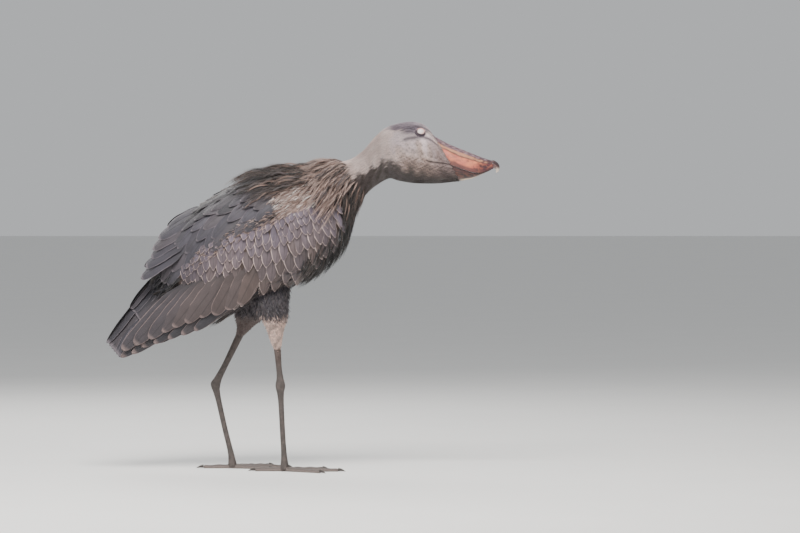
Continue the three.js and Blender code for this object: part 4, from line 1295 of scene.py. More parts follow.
@dataclass
class Leg:
    """A leg from its feathered thigh to its claws."""

    side: int
    thigh: tuple
    shin: tuple
    tarsus: tuple
    foot: tuple[float, float]
    heading: float
    shin_tint: Colour
    cuff_tint: Colour
    toes: tuple = (
        ("inner", -33, 118, 7.6, 5.2, 3),
        ("middle", 0, 150, 8.2, 5.4, 4),
        ("outer", 33, 128, 7.6, 5.2, 4),
        ("hind", 176, 82, 7.4, 5.4, 2),
    )
    tarsus_tint: Colour = (0.065, 0.052, 0.048)
    toe_top: Colour = (0.1, 0.08, 0.074)
    toe_sole: Colour = (0.2, 0.16, 0.145)
    claw_length: float = 21
    claw_half: float = 4.2
    coat_depth: float = 5

    @property
    def name(self) -> str:
        """Which leg it is."""
        return SIDES[self.side]

    @staticmethod
    def limb(stations: tuple, rows: int, columns: int, inset: float = 0.0) -> tuple:
        """A round limb through stations of centre and half sizes, as a grid of points."""
        table = np.array(stations, float)
        share, turn = round_grid(rows, columns)
        row = spline(table, share * (len(table) - 1))
        x = row[..., 0] + (row[..., 3] - inset) * np.sin(turn)
        y = row[..., 1] + (row[..., 4] - inset) * np.cos(turn)
        return np.stack([x, y, row[..., 2]], -1), share, turn

    def thigh_sheet(self) -> tuple[tuple, Array]:
        """The thigh's skin beneath its down."""
        points, share, _ = self.limb(self.thigh, 60, 48, self.coat_depth)
        tint = blend(TROUSER, self.cuff_tint, smooth(share, 0.36, 0.48))
        return sheet(BODY.model(points), tint, wrap=True)

    def build(self) -> None:
        """Makes shin, foot and claws."""
        self.shanks()
        self.down()
        self.claws()

    def scales(self, share: Array, turn: Array, length: float, size: float) -> Array:
        """Raised scutes: broad ones in front, small ones behind, as heights in millimetres."""
        rows = share * length / size
        plates = np.abs(np.sin(math.pi * rows)) ** 0.5
        small_rows = share * length / (size * 0.5)
        shift = 0.5 * (np.floor(small_rows) % 2)
        around = np.abs(np.sin(math.pi * (turn * 2.2 + shift)))
        small = (np.abs(np.sin(math.pi * small_rows)) * around) ** 0.5
        front = smooth(np.sin(turn), 0.1, 0.6)
        return 0.45 * (plates * front + small * (1 - front))

    def scaled(self, stations: tuple, rows: int, columns: int, size: float) -> tuple:
        """A limb with its scutes raised in the mesh."""
        points, share, turn = self.limb(stations, rows, columns)
        table = np.array(stations, float)
        length = float(np.linalg.norm(np.diff(table[:, :3], axis=0), axis=1).sum())
        height = self.scales(share, turn, length, size)
        out = np.stack([np.sin(turn), np.cos(turn), np.zeros_like(turn)], -1)
        return points + out * (height - 0.3)[..., None], share, height

    def tinted(self, share: Array, height: Array, top: Colour, bottom: Colour) -> Array:
        """A limb's colour from its upper to its lower end, darker between the scutes."""
        tint = blend(top, bottom, smooth(share, 0.0, 0.45))
        return blend(tint, SCUTE_GAP, 0.5 * (1 - np.clip(height / 0.3, 0, 1)))

    def shanks(self) -> None:
        """Shin, tarsus and toes in one scaled skin."""
        parts = ("shin", "tarsus", *(f"{toe[0]}_toe" for toe in self.toes))
        coat = Coat(f"leg_{self.name}", "leg_skin", tuple(f"{part}_{self.name}" for part in parts))
        grey = self.tarsus_tint
        for stations, top, size in ((self.shin, self.shin_tint, 5.5), (self.tarsus, grey, 6.5)):
            points, share, height = self.scaled(stations, 170, 56, size)
            tint = self.tinted(share, height, top, grey)
            coat.add(*sheet(BODY.model(points), tint, wrap=True))
        for toe in self.toes:
            coat.add(*self.toe_sheet(toe))
        coat.finish(ScuteFinish(f"leg_skin_{self.name}").make())

    def along_toe(self, turn: float, along: Array, across: Array, height: Array) -> Array:
        """A point given along, across and above a toe, in metres."""
        heading = math.radians(self.heading - self.side * turn)
        x = self.foot[0] + along * math.cos(heading) - across * math.sin(heading)
        y = self.foot[1] + along * math.sin(heading) + across * math.cos(heading)
        return BODY.model(np.stack([x, y, height], -1))

    def toe_sheet(self, toe: tuple) -> tuple[tuple, Array]:
        """One toe: pads beneath, scutes above, flat where it meets the floor."""
        _, turn_from, length, root, end, joints = toe
        share, turn = round_grid(110, 40)
        pads = 1 + 0.12 * np.cos(2 * math.pi * joints * share) * smooth(share, 0.1, 0.2)
        blunt = np.sqrt(np.clip((1 - share) / 0.05, 0, 1)) * 0.45 + 0.55
        radius = (root + (end - root) * share) * pads * blunt
        plates = np.abs(np.sin(math.pi * share * length / 3.6)) ** 0.5
        top = smooth(np.cos(turn), 0.2, 0.7)
        radius = radius - 0.3 + 0.5 * plates * top
        height = np.maximum(0, (root + (end - root) * share) * 0.62 + radius * np.cos(turn))
        tint = blend(self.toe_top, self.toe_sole, 1 - top)
        tint = blend(tint, SCUTE_GAP, 0.5 * top * (1 - plates))
        points = self.along_toe(turn_from, share * length, -radius * np.sin(turn), height)
        return sheet(points, tint, wrap=True)

    def claws(self) -> None:
        """A curved claw at the end of each toe."""
        nodes = tuple(f"{toe[0]}_claw_{self.name}" for toe in self.toes)
        coat = Coat(f"claws_{self.name}", "claw", nodes)
        for _, turn_from, length, *_ in self.toes:
            share, turn = round_grid(24, 24)
            radius = self.claw_half * (1 - share**1.6) + 0.15
            height = 5.5 * (1 - share**2) + 0.5 + radius * 1.05 * np.cos(turn)
            along = length + 0.3 + self.claw_length * share
            height = np.maximum(height, 0.2)
            points = self.along_toe(turn_from, along, -radius * np.sin(turn), height)
            coat.add(*sheet(points, np.full(points.shape, 0.05), wrap=True))
        coat.finish(ClawFinish(f"claw_horn_{self.name}").make())

    def down(self, count: int = 5200) -> None:
        """Soft grey down from the belly to the knee, thinning onto the shin."""
        draw = np.random.default_rng(31 + self.side)
        table = np.array(self.thigh, float)
        share = draw.uniform(0.0, 1.0, count) ** 0.8
        turn = draw.uniform(0, 2 * math.pi, count)
        keep = draw.uniform(size=count) > smooth(share, 0.82, 1.02)
        share, turn = share[keep], turn[keep]
        count = len(share)
        row = spline(table, share * (len(table) - 1))
        ahead = spline(table, np.minimum(share + 0.02, 1) * (len(table) - 1)) - row
        out = np.stack([np.sin(turn), np.cos(turn), np.zeros(count)], -1)
        root = row[:, :3].copy()
        root[:, 0] += (row[:, 3] - self.coat_depth - 1) * np.sin(turn)
        root[:, 1] += (row[:, 4] - self.coat_depth - 1) * np.cos(turn)
        down = unit(ahead[:, :3] + [[0, 0, -1e-6]]) + draw.normal(0, 0.16, (count, 3))
        down = unit(down)
        length = draw.uniform(13, 24, count) * (1 - 0.7 * smooth(share, 0.3, 0.7))
        stand = np.interp(share, [0, 1], [5.5, 2.5]) * draw.uniform(0.6, 1.3, count)
        bend = root + down * (length * 0.5)[:, None] + out * stand[:, None]
        tip = root + down * length[:, None] + out * (stand * 1.1)[:, None]
        place = np.stack([share, turn / (2 * math.pi)], -1) * 0.9 + 0.05
        spines = Spines(*map(BODY.model, (root, bend, tip)), out, place)
        ragged = share + draw.normal(0, 0.045, count) + 0.05 * np.cos(turn)
        shade = blend(TROUSER, ASH, 0.5 * draw.uniform(size=count) ** 2)
        shade = blend(shade, self.cuff_tint, smooth(ragged, 0.36, 0.46))
        soiled = smooth(ripple(root, 22, 41), 0.5, 0.85)
        shade = blend(shade, UMBER, 0.45 * soiled * smooth(share, 0.4, 0.6))
        shade = shade * draw.uniform(0.7, 1.2, (count, 1))
        coat = Coat(f"thigh_down_{self.name}", "plumage_dark")
        width, roll = draw.uniform(2.4, 4.2, count), draw.normal(0, 0.5, count)
        coat.add(Tuft(stations=2).build(spines, width, roll, 5), shade)
        coat.finish(DOWN)


LEG_RIGHT = Leg(
    side=RIGHT,
    thigh=((-88, -40, 520, 56, 24), (-90, -57, 468, 49, 32), (-78, -63, 420, 31, 27),
           (-75, -67, 378, 21, 19), (-70, -69, 336, 10.5, 10)),
    shin=((-70, -69, 340, 9.8, 8.8), (-66, -69, 290, 8, 7.5), (-63, -68, 262, 9.5, 9),
          (-62, -68, 240, 13.5, 11.5), (-62, -68, 222, 10.5, 9.5)),
    tarsus=((-62, -68, 224, 10.3, 9.3), (-60, -67, 190, 7.8, 7), (-56, -65, 110, 7.4, 6.8),
            (-52, -63, 45, 8.2, 8.5), (-50, -62, 5, 13, 13)),
    foot=(-50, -62),
    heading=-6,
    shin_tint=(0.05, 0.028, 0.022),
    cuff_tint=(0.86, 0.64, 0.56),
)
LEG_LEFT = Leg(
    side=LEFT,
    thigh=((-124, 40, 505, 58, 24), (-132, 56, 462, 54, 32), (-150, 63, 425, 37, 28),
           (-166, 67, 396, 22, 19), (-179, 69, 373, 12.5, 11.5)),
    shin=((-179, 69, 376, 11.8, 9.2), (-216, 69, 300, 9.5, 7.8), (-237, 68, 260, 11, 9),
          (-247, 68, 240, 14, 11.5), (-247, 68, 222, 11, 9.5)),
    tarsus=((-247, 68, 224, 10.8, 9.3), (-239, 67, 190, 8, 7), (-221, 65, 110, 7.6, 6.8),
            (-205, 63, 45, 8.4, 8.5), (-199, 62, 5, 13, 13)),
    foot=(-199, 62),
    heading=5,
    shin_tint=(0.06, 0.045, 0.04),
    # painted shadow: the far leg's cuff is dark where the near leg's cuff is pale
    cuff_tint=(0.14, 0.105, 0.1),
)
LEGS = (LEG_RIGHT, LEG_LEFT)


FLIGHT = Vane(
    across=11, along=26, tip_power=7, tip_round=0.5, camber=0.06, base_width=0.3, thickness=1.0
)
COVERT = Vane(
    across=9, along=15, tip_power=2.6, tip_round=0.8, camber=0.13, base_width=0.5, open_by=2
)
SCAPULAR = Vane(across=9, along=16, tip_power=3.4, tip_round=0.7, camber=0.1, base_width=0.4)
TAIL = Vane(
    across=11, along=24, tip_power=8, tip_round=0.5, camber=0.08, base_width=0.4, thickness=1.0
)
PLUME = Vane(across=3, along=7, tip_power=2.2, tip_round=0.8, camber=0.2, base_width=0.5)
BACK = Vane(across=7, along=14, tip_power=3.5, tip_round=0.6, camber=0.14, base_width=0.4)


@dataclass(frozen=True)
class Row:
    """One row of coverts: how many, where its roots run, and the size of one feather."""

    count: int
    rings: tuple[float, float]
    below: tuple[float, float]
    heading: tuple[float, float]
    length: float
    width: float
    lift: float


@dataclass(frozen=True)
class Fan:
    """Long feathers in a fan: root rings and turns, a curve for their tips, and their colours."""

    count: int
    rings: tuple[float, float]
    turns: tuple[float, float]
    tips: tuple
    width: float
    base: float
    arch: float
    facing: tuple[float, float, float]
    tints: tuple[Colour, Colour]


@dataclass
class Wing:
    """A folded wing: coverts in rows, then secondaries and primaries."""

    side: int
    ridge: float = math.radians(84)
    climb: tuple = (math.radians(14), 2.6, 4.4)
    drop: tuple = (math.radians(22), 6.2, 7.35)
    proud: float = 6
    rows: tuple[Row, ...] = (
        Row(29, (7.42, 1.5), (-3, -2), (62, 46), 34, 22, 7),
        Row(26, (7.36, 1.45), (2, 2), (64, 48), 44, 27, 6),
        Row(21, (7.24, 1.45), (8, 6), (64, 50), 58, 34, 6),
        Row(20, (7.0, 1.35), (17, 13), (64, 52), 68, 38, 6.5),
        Row(18, (6.65, 1.2), (30, 22), (64, 50), 78, 41, 6.5),
        Row(15, (6.25, 1.0), (42, 32), (62, 47), 90, 45, 6),
        Row(11, (5.5, 0.95), (52, 42), (60, 44), 98, 52, 5),
    )
    secondaries: Fan = Fan(
        10, (3.7, 1.15), (113, 90), ((-172, 113, 470), (-345, 100, 414), (-502, 76, 336)), 46, 6,
        10, (0.25, 1, 0.15), ((0.076, 0.05, 0.045), (0.038, 0.031, 0.038)),
    )
    primaries: Fan = Fan(
        7, (2.9, 1.5), (137, 124), ((-300, 94, 398), (-420, 82, 354), (-512, 64, 319)), 32, 4,
        -4, (0.25, 1, 0.05), (SLATE_DARK, SLATE_DARK),
    )
    bed_rings: tuple[float, float] = (7.25, 0.8)
    bed_low: tuple = (math.radians(142), math.radians(8), 6.6, 7.35)
    bed_sunk: float = 3.0
    bed_back: float = 9.0

    def top(self, ring: Array) -> Array:
        """The turn of the forearm's ridge at a ring."""
        by, low, high = self.climb
        turn = self.ridge - by * (1 - smooth(ring, low, high))
        by, low, high = self.drop
        return turn + by * smooth(ring, low, high)

    def build(self) -> None:
        """Makes the wing's pieces."""
        name = SIDES[self.side]
        flight = Coat(f"flight_feathers_{name}", "plumage_slate", (f"wing_{name}",))
        for fan in (self.primaries, self.secondaries):
            flight.add(*fan_feathers(self.side, fan))
        flight.finish(DARK_VANE, smooth_rim=False)
        coverts = Coat(f"coverts_{name}", "plumage_slate", (f"wing_{name}",))
        for number, row in enumerate(self.rows):
            coverts.add(*self.covert_row(row, number))
        coverts.finish(COVERT_VANE, smooth_rim=False)
        self.bed(name)

    def bed(self, name: str) -> None:
        """The feathered surface beneath the coverts."""
        front, rear = self.bed_rings
        rings, shares = np.linspace(front, rear, 120), np.linspace(0, 1, 40)
        ring, share = np.meshgrid(rings, shares, indexing="ij")
        start, by, first, last = self.bed_low
        low = start - by * smooth(ring, first, last)
        turn = self.side * (self.top(ring) + (low - self.top(ring)) * share)
        edge, end = np.minimum(share, 1 - share) * 8, np.minimum(front - ring, ring - rear) * 3
        edge = np.minimum(edge, end)
        rise = (self.proud - self.bed_sunk) * smooth(edge, 0, 1) - 6 * (1 - smooth(edge, 0, 0.4))
        outer = BODY.surface(ring, turn, rise)
        inner = BODY.surface(ring, turn, np.full_like(rise, -self.bed_back))
        grid = np.concatenate([outer, inner[:, ::-1]], 1)[:: self.side]
        coat = Coat(f"wing_bed_{name}", "plumage_slate", (f"wing_{name}",))
        coat.add(*sheet(grid, np.broadcast_to(BROWN, grid.shape), wrap=True))
        coat.finish(WING_SKIN)

    def covert_row(self, row: Row, number: int) -> tuple[tuple, Array]:
        """One row of coverts with its colours."""
        draw = np.random.default_rng(50 + 10 * number + self.side)
        share = np.arange(row.count) + 0.5 * (number % 2) + draw.normal(0, 0.1, row.count)
        share = share / row.count
        ring = row.rings[0] + (row.rings[1] - row.rings[0]) * share
        turn = self.top(ring) + np.radians(row.below[0] + (row.below[1] - row.below[0]) * share)
        heading = row.heading[0] + (row.heading[1] - row.heading[0]) * share
        heading = np.radians(heading + draw.normal(0, 4, row.count))
        length = row.length * (1 + draw.normal(0, 0.06, row.count))
        lift = row.lift * (1 + draw.normal(0, 0.25, row.count))
        spines = lay(ring, self.side * turn, heading, length, self.proud - 2, lift, stiff=0.3)
        roll = self.side * np.radians(5 + draw.normal(0, 3, row.count))
        width = row.width * (1 + draw.normal(0, 0.07, row.count))
        warm = np.clip(0.1 + 0.17 * number + draw.normal(0, 0.15, row.count), 0, 1)
        tint = blend(LILAC, DUN, warm)
        tint = tint * (0.92 - 0.03 * number + draw.normal(0, 0.1, row.count))[:, None]
        rearward = smooth(share, 0.6, 1.0)[:, None]
        tint = tint * (1 - 0.4 * rearward)
        return COVERT.build(spines, width, roll, 70 + number), tint


def fan_feathers(side: int, fan: Fan) -> tuple[tuple, Array]:
    """A fan of long feathers with its colours.

    Args:
        side: Which side of the bird.
        fan: Sizes, places and colours.
    Returns:
        What Coat.add takes.
    """
    draw = np.random.default_rng(200 + side + fan.count)
    share = np.linspace(0, 1, fan.count)
    ring = fan.rings[0] + (fan.rings[1] - fan.rings[0]) * share
    turn = np.radians(fan.turns[0] + (fan.turns[1] - fan.turns[0]) * share)
    tips = np.array([(x, -side * aside, z) for x, aside, z in fan.tips], float)
    s = share[:, None]
    tip = (1 - s) ** 2 * tips[0] + 2 * s * (1 - s) * tips[1] + s * s * tips[2]
    tip = BODY.model(tip + draw.normal(0, 3, tip.shape) * [1, 0.2, 1])
    root = BODY.surface(ring, side * turn, fan.base - 4)
    _, _, out = BODY.axes(ring, side * turn)
    bend = root + 0.45 * (tip - root) + out * fan.arch * MM
    facing = unit(np.array([fan.facing[0], -side * fan.facing[1], fan.facing[2]]))
    spines = Spines(root, bend, tip, np.tile(facing, (fan.count, 1)), bake_place(ring, side * turn))
    roll = side * np.radians(4 + draw.normal(0, 1.5, fan.count))
    colours = blend(fan.tints[0], fan.tints[1], share)
    colours = blend(colours, SLATE, np.clip(draw.normal(0.15, 0.12, fan.count), 0, 1))
    return FLIGHT.build(spines, fan.width, roll, 90 + fan.count), colours


@dataclass
class Shoulder:
    """Scapulars over one side of the back, ending in the long tertials."""

    side: int
    rows: int = 8
    per_row: int = 6
    rings: tuple[float, float] = (5.5, 2.0)
    tertials: Fan = Fan(
        6, (3.1, 1.9), (19, 56), ((-380, 34, 676), (-436, 46, 606), (-448, 60, 545)), 50, 6, 6,
        (-0.35, 0.6, 0.75), (SLATE, SLATE),
    )

    def build(self) -> None:
        """Makes the shoulder's feathers."""
        name = SIDES[self.side]
        draw = np.random.default_rng(300 + self.side)
        coat = Coat(f"shoulder_feathers_{name}", "plumage_slate", (f"scapulars_{name}",))
        count = self.rows * self.per_row
        row, place = np.divmod(np.arange(count), self.per_row)
        down = (place + 0.5 * (row % 2)) / (self.per_row - 0.5)
        share = row / (self.rows - 1)
        ring = self.rings[0] + (self.rings[1] - self.rings[0]) * share + draw.normal(0, 0.05, count)
        wing = Wing(self.side)
        low = wing.top(ring) - np.radians(13)
        high = np.radians(9 + 16 * smooth(ring, 4.9, 5.5))
        turn = high + (low - high) * down
        heading = np.radians(2 + 20 * down + draw.normal(0, 4, count))
        length = (92 + 34 * share) * (1 + draw.normal(0, 0.08, count))
        lift = 10 - 5 * down + draw.normal(0, 1.5, count)
        spines = lay(ring, self.side * turn, heading, length, 4, np.maximum(lift, 3), stiff=0.12)
        width = (38 + 8 * share) * (1 + draw.normal(0, 0.08, count))
        roll = self.side * np.radians(5 + draw.normal(0, 3, count))
        tint = blend(SLATE, SLATE_DARK, 0.95 * (1 - smooth(down, 0.1, 0.45)))
        tint = tint * (1 + draw.normal(0, 0.16, (count, 1)))
        coat.add(SCAPULAR.build(spines, width, roll, 310), tint)
        coat.add(*fan_feathers(self.side, self.tertials))
        coat.finish(SLATE_VANE, smooth_rim=False)


@dataclass
class Tail:
    """Twelve tail feathers in a steep arch, with coverts over their roots."""

    pairs: int = 6
    slant: float = 2.1
    ridge_root: tuple[float, float] = (-404, 540)
    ridge_tip: tuple[float, float] = (-547, 354)
    root_aside: float = 30
    tip_aside: float = 54
    root_drop: tuple[float, float] = (22, -34)
    tip_drop: tuple[float, float] = (32, -34)
    width: float = 44
    layer: float = 1.7
    splay: float = 1.35

    def build(self) -> None:
        """Makes the tail."""
        fanned = np.array([(i + 0.4) / (self.pairs - 0.6) for i in range(self.pairs)])
        aside = np.concatenate([fanned, -fanned])
        coat = Coat("tail_feathers", "plumage_slate", ("tail",))
        shades = np.random.default_rng(400).uniform(0.3, 0.7, len(aside))
        tint = blend(SLATE, SLATE_DARK, shades)
        coat.add(TAIL.build(self.spines(aside, 1.0), self.width, 0.0, 401), tint)
        coat.add(TAIL.build(self.spines(aside * 0.85, 0.5, 5), self.width, 0.0, 402), tint)
        coat.finish(SLATE_VANE, smooth_rim=False)

    def spines(self, aside: Array, share: float, raised: float = 0.0) -> Spines:
        """The centre lines of a tier of the fan, cut to a share of its length."""
        low, out_by = np.abs(aside), np.sign(aside) * np.abs(aside) ** 1.15
        root, tip = (
            np.stack([ridge[0] + drop[0] * low, wide * out_by, ridge[1] + drop[1] * low], -1)
            for ridge, wide, drop in (
                (self.ridge_root, self.root_aside, self.root_drop),
                (self.ridge_tip, self.tip_aside, self.tip_drop),
            )
        )
        tip = root + (tip - root) * share
        along, rise = (end - start for start, end in zip(self.ridge_root, self.ridge_tip))
        along, _, rise = unit(np.array([along, 0, rise]))
        sideways = self.slant * np.sign(aside) * low**0.5
        out = unit(np.stack([np.full(len(aside), rise), sideways, np.full(len(aside), -along)], -1))
        level = self.layer * (self.pairs * (1 - low) + 0.5 * (aside > 0)) + raised
        root = root + out * self.splay * (level - 7)[:, None]
        tip = tip + out * self.splay * (level - 4)[:, None]
        bend = (root + tip) / 2 + out * self.splay * 5
        place = np.stack([0.1 + 0.02 * np.arange(len(aside)), 0.5 + 0.3 * aside], -1)
        return Spines(*map(BODY.model, (root, bend, tip)), out, place)


@dataclass(frozen=True)
class Tract:
    """Loose plumes of one tract on each side."""

    name: str
    count: int
    rings: tuple[float, float]
    turns: tuple[float, float]
    towards: tuple[float, float, float]
    length: tuple[float, float]
    width: tuple[float, float]
    lift: tuple[float, float]
    tints: tuple[Colour, ...]
    barbs: int = 7
    spread: float = 0.16
    sag: float = 0.1
    base: float = 0.0


@dataclass
class Plumes:
    """Shaggy tracts: mantle, ruff, chest, ridge, down patch, belly and vent."""

    tracts: tuple[Tract, ...] = (
        Tract("mantle", 170, (7.5, 4.9), (0, 58), (-1, 0.1, -0.36), (44, 76), (7, 13), (8, 32),
              (BROWN, BLACK, TAN, ASH, BROWN, UMBER), 9),
        Tract("ruff", 250, (8.9, 7.2), (4, 104), (-0.75, 0.25, -0.8), (44, 72), (6, 10), (8, 22),
              (TAN, BUFF, BUFF, BUFF, ASH, UMBER), 8),
        Tract("throat_ruff", 120, (8.9, 7.8), (100, 176), (-0.5, 0, -1), (40, 60), (6, 10), (6, 15),
              (BROWN, TAN, UMBER, BLACK), 7),
        Tract("chest", 190, (8.0, 5.2), (124, 178), (-0.4, 0, -1), (36, 60), (6, 10), (6, 16),
              (BLACK, SLATE_DARK, BLACK, BROWN), 7),
        Tract("down_patch", 260, (6.8, 5.2), (56, 85), (-0.9, 0.1, -0.6), (16, 28), (5, 8), (4, 9),
              (BUFF, PALE, TAN, BUFF), 7, 0.35),
        Tract("ridge_down", 230, (5.4, 1.9), (74, 86), (-0.9, 0.1, -0.35), (12, 22), (3, 5), (7, 11),
              (TAN, ASH, ASH, BUFF), 5, 0.4),
        Tract("belly", 260, (5.6, 0.3), (138, 179), (-1, 0, -0.3), (34, 52), (8, 13), (3, 9),
              (TROUSER, ASH, TROUSER, BROWN), 6, 0.2),
        Tract("vent", 70, (2.4, 0.1), (140, 178), (-1, 0, -0.75), (44, 70), (8, 12), (6, 14),
              (UMBER, BROWN, TAN, SLATE_DARK), 7, 0.25),
        Tract("rump", 60, (1.5, 0.05), (0, 120), (-0.8, 0.1, -0.5), (46, 70), (11, 16), (4, 10),
              (SLATE_DARK, SLATE, BROWN), 8),
    )

    def build(self) -> None:
        """Makes each tract as one piece for both sides."""
        for seed, tract in enumerate(self.tracts):
            coat = Coat(f"{tract.name}_plumes", "plumage_dark")
            for side in SIDES:
                self.add(coat, tract, side, 500 + 10 * seed + side)
            coat.finish(DOWN)

    @staticmethod
    def add(coat: Coat, tract: Tract, side: int, seed: int) -> None:
        """Adds one side's plumes: each a shaft and barbs that part from it."""
        draw = np.random.default_rng(seed)
        turns = tuple(side * math.radians(t) for t in tract.turns)
        ring, turn = BODY.spread(tract.rings[::-1], tuple(sorted(turns)), tract.count, seed)
        count = len(ring)
        towards = np.array([tract.towards[0], -side * tract.towards[1], tract.towards[2]])
        towards = towards + draw.normal(0, 0.16, (count, 3))
        length = draw.uniform(*tract.length, count)
        lift = draw.uniform(*tract.lift, count)
        spines = hang(ring, turn, towards, length, lift, tract.base, tract.sag)
        tint = np.array(tract.tints)[draw.integers(len(tract.tints), size=count)]
        tint = tint * (1 + draw.normal(0, 0.15, (count, 1)))
        width = draw.uniform(*tract.width, count)
        coat.add(PLUME.build(spines, width * 0.38, draw.normal(0, 0.35, count), seed + 1), tint)
        barbs = 2 * tract.barbs
        point, across, normal, tangent = spines.at(np.linspace(0.02, 0.92, barbs))
        for number in range(barbs):
            for hand in (1, -1):
                share = 0.02 + 0.9 * number / (barbs - 1)
                reach = width * 0.5 * draw.uniform(0.15, 1.0, count) * (1 - 0.4 * share)
                reach = reach[:, None] * MM
                along = (length * draw.uniform(0.28, 0.6, count))[:, None] * MM
                root = point[:, number]
                out = hand * across[:, number] * reach
                fray = draw.normal(0, 1, (count, 3)) * (reach * 0.35 + tract.spread * 0.12 * along)
                tip = root + tangent[:, number] * along + out + fray
                barb = Spines(root, (root + tip) / 2 + out * 0.2, tip, normal[:, number], spines.place)
                built = Tuft(stations=1).build(barb, draw.uniform(0.7, 1.5, count), 0.0, seed + 2 + number)
                coat.add(built, tint * (1 + draw.normal(0, 0.18, (count, 1))))


@dataclass
class ShortFeathers:
    """Small flat feathers that cover neck and head, shorter towards the face."""

    neck_count: int = 30000
    nape_count: int = 32000
    face_count: int = 38000
    fringe_count: int = 4200

    def build(self) -> None:
        """Makes the coats of neck, back of the head and face, and the fringe at the bill."""
        self.field("neck_feathers", (8.3, 12.3), self.neck_count, (12, 5.5), (2.8, 1.8), 600)
        self.field("nape_feathers", (12.1, 14.0), self.nape_count, (5.4, 4.2), (1.6, 1.4), 640)
        self.field("face_feathers", (14.0, 15.98), self.face_count, (4.2, 2.8), (1.4, 1.0), 680)
        self.fringe()

    def fringe(self) -> None:
        """Short feathers that reach forwards from the face over the root of the bill."""
        draw = np.random.default_rng(720)
        count = self.fringe_count
        ring = 16 - 0.3 * draw.uniform(size=count) ** 1.5
        turn = draw.uniform(-math.pi, math.pi, count)
        back, down, out = BODY.axes(ring, turn)
        lie = unit(-back + draw.normal(0, 0.3, (count, 3)) + 0.2 * down)
        ragged = ripple(np.stack([turn * 40, np.zeros(count)], -1), 9, 31)
        point = bell(np.abs(turn), 1.35, 0.35)
        length = draw.uniform(2.2, 5.0, count) * (0.7 + 0.9 * ragged + 0.9 * point)
        root = BODY.surface(ring, turn, -1.0)
        bend = root + lie * (0.5 * length * MM)[:, None] + out * 0.0012
        tip = root + lie * (length * MM)[:, None] + out * 0.0006
        spines = Spines(root, bend, tip, out, bake_place(ring, turn))
        tint = Markings.head_and_neck(ring, turn) * (1 + draw.normal(0, 0.14, (count, 1)))
        coat = Coat("bill_fringe", "plumage_pale")
        tuft = Tuft(stations=2, thickness=0.2)
        width, roll = draw.uniform(0.8, 1.4, count), draw.normal(0, 0.3, count)
        coat.add(tuft.build(spines, width, roll, 721), tint)
        coat.finish(SHORT_DOWN)

    @staticmethod
    def field(name: str, rings: tuple, count: int, length: tuple, width: tuple, seed: int) -> None:
        """A dense field of short feathers between two rings."""
        draw = np.random.default_rng(seed)
        ring, turn = BODY.spread(rings, (-math.pi, math.pi), count, seed)
        keep = BODY.from_eye(ring, turn) > BODY.eye_radius + draw.uniform(0, 2.5, len(ring))
        ring, turn = ring[keep], turn[keep]
        count = len(ring)
        share = (ring - rings[0]) / (rings[1] - rings[0])
        long = (length[0] + (length[1] - length[0]) * share) * draw.uniform(0.75, 1.25, count)
        wide = (width[0] + (width[1] - width[0]) * share) * draw.uniform(0.8, 1.2, count)
        back, down, out = BODY.axes(ring, turn)
        place = np.stack([ring * 30, turn * 45], -1)
        swirl = 0.5 * (ripple(place, 40, 21) - 0.5) + draw.normal(0, 0.14, count)
        lie = back * np.cos(swirl + 0.18)[:, None] + down * np.sin(swirl + 0.18)[:, None]
        loose = np.interp(ring, [8, 9.5, 12, 16], [2.6, 1.6, 0.9, 0.45]) * draw.uniform(0.5, 1.5, count)
        depth = Skin().depth(ring) * 0.8
        root = BODY.surface(ring, turn, -depth)
        rise = (depth * 0.8 + loose * 0.6) * MM
        bend = root + lie * (long * 0.45 * MM)[:, None] + out * rise[:, None]
        tip = root + lie * (long * MM)[:, None] + out * ((depth + loose * 0.5) * MM)[:, None]
        spines = Spines(root, bend, tip, out, bake_place(ring, turn))
        tint = Markings.head_and_neck(ring, turn) * (1 + draw.normal(0, 0.1, (count, 1)))
        coat = Coat(name, "plumage_pale")
        tuft, roll = Tuft(stations=1, thickness=0.2), draw.normal(0, 0.25, count)
        coat.add(tuft.build(spines, 1.35 * wide, roll, seed + 1), tint)
        coat.finish(SHORT_DOWN)


@dataclass
class Back:
    """Rows of feathers down the middle of the back, between the shoulders."""

    count: int = 13
    rings: tuple[float, float] = (5.2, 1.1)

    def build(self) -> None:
        """Makes the rows."""
        draw = np.random.default_rng(700)
        coat = Coat("back_feathers", "plumage_dark")
        for turn, width in ((0.0, 44), (0.16, 36), (-0.16, 36)):
            ring = np.linspace(*self.rings, self.count) + draw.normal(0, 0.04, self.count) + 0.1 * turn
            spines = lay(ring, np.full(self.count, turn), np.full(self.count, 0.05),
                         draw.uniform(66, 90, self.count), 2, draw.uniform(6, 11, self.count), stiff=0.1)
            tint = blend(SLATE_DARK, BROWN, draw.uniform(size=self.count))
            coat.add(BACK.build(spines, width, draw.normal(0, 0.08, self.count), 701), tint)
        coat.finish(SLATE_VANE, smooth_rim=False)


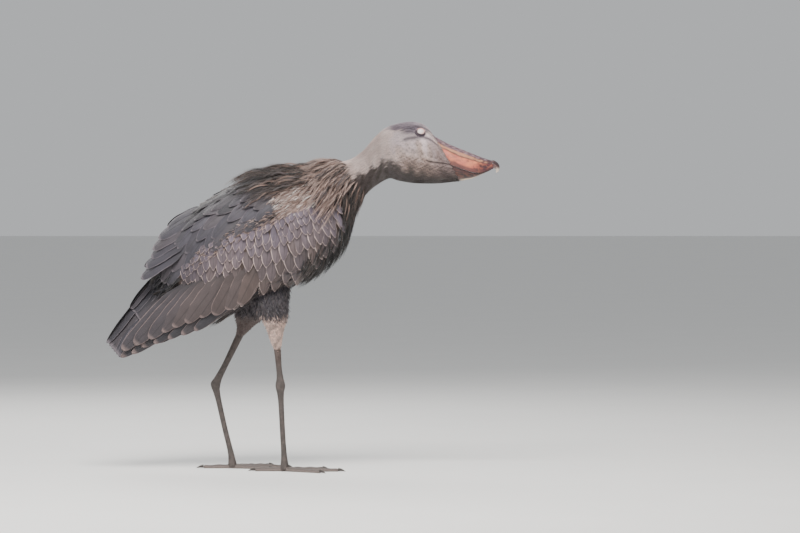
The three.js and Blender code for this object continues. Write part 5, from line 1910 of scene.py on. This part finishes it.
@dataclass
class Studio:
    """Camera, soft lights and a plain pale floor."""

    view_width: float = 2.24
    centre: tuple[float, float, float] = (271.6, 0, 569.8)
    distance: float = 14.0
    elevation: float = math.radians(1.6)
    sensor: float = 36.0
    lamps: tuple = (
        ("key", (-0.1, -2.5, 3.8), 2.0, 320, (1.0, 0.96, 0.91)),
        ("fill", (-2.6, -2.8, 1.6), 3.0, 44, (0.93, 0.96, 1.0)),
        ("rim", (-1.0, 2.8, 3.0), 2.5, 110, (1.0, 0.98, 0.95)),
    )
    lit: tuple[float, float, float] = (0, 0, 0.6)
    room: Colour = (0.86, 0.88, 0.9)
    room_strength: float = 0.6
    floor_size: float = 60.0

    def build(self) -> None:
        """Makes the studio."""
        self.camera()
        self.lights()
        bpy.ops.mesh.primitive_plane_add(size=self.floor_size)
        floor = bpy.context.object
        floor.name = "studio_floor"
        floor.data.materials.append(FloorFinish().make())

    def camera(self) -> None:
        """A long lens at the photograph's distance and height."""
        data = bpy.data.cameras.new("camera")
        data.sensor_width = self.sensor
        data.lens = self.sensor * self.distance / self.view_width
        data.clip_end = 100
        camera = bpy.data.objects.new("camera", data)
        target = Vector(BODY.model(np.array(self.centre)))
        away = Vector((0, -math.cos(self.elevation), math.sin(self.elevation)))
        camera.location = target + away * self.distance
        camera.rotation_euler = (-away).to_track_quat("-Z", "Y").to_euler()
        bpy.context.scene.collection.objects.link(camera)
        bpy.context.scene.camera = camera

    def lights(self) -> None:
        """A high key light in front, a broad fill and a low rim, in a pale room."""
        for name, place, size, power, colour in self.lamps:
            data = bpy.data.lights.new(name, "AREA")
            data.size, data.energy, data.color = size, power, colour
            lamp = bpy.data.objects.new(name, data)
            lamp.location = place
            facing = Vector(self.lit) - Vector(place)
            lamp.rotation_euler = facing.to_track_quat("-Z", "Y").to_euler()
            bpy.context.scene.collection.objects.link(lamp)
        world = bpy.data.worlds.new("room")
        world.use_nodes = True
        background = next(n for n in world.node_tree.nodes if n.type == "BACKGROUND")
        background.inputs["Color"].default_value = (*self.room, 1)
        background.inputs["Strength"].default_value = self.room_strength
        bpy.context.scene.world = world


def main() -> None:
    """Builds the bird and its studio."""
    logging.basicConfig(level=logging.INFO, format="%(message)s")
    Skin().build()
    Eyes().build()
    Bill().build()
    for leg in LEGS:
        leg.build()
    for side in SIDES:
        Wing(side).build()
        Shoulder(side).build()
    Tail().build()
    Back().build()
    Plumes().build()
    ShortFeathers().build()
    Studio().build()


if __name__ == "__main__":
    main()
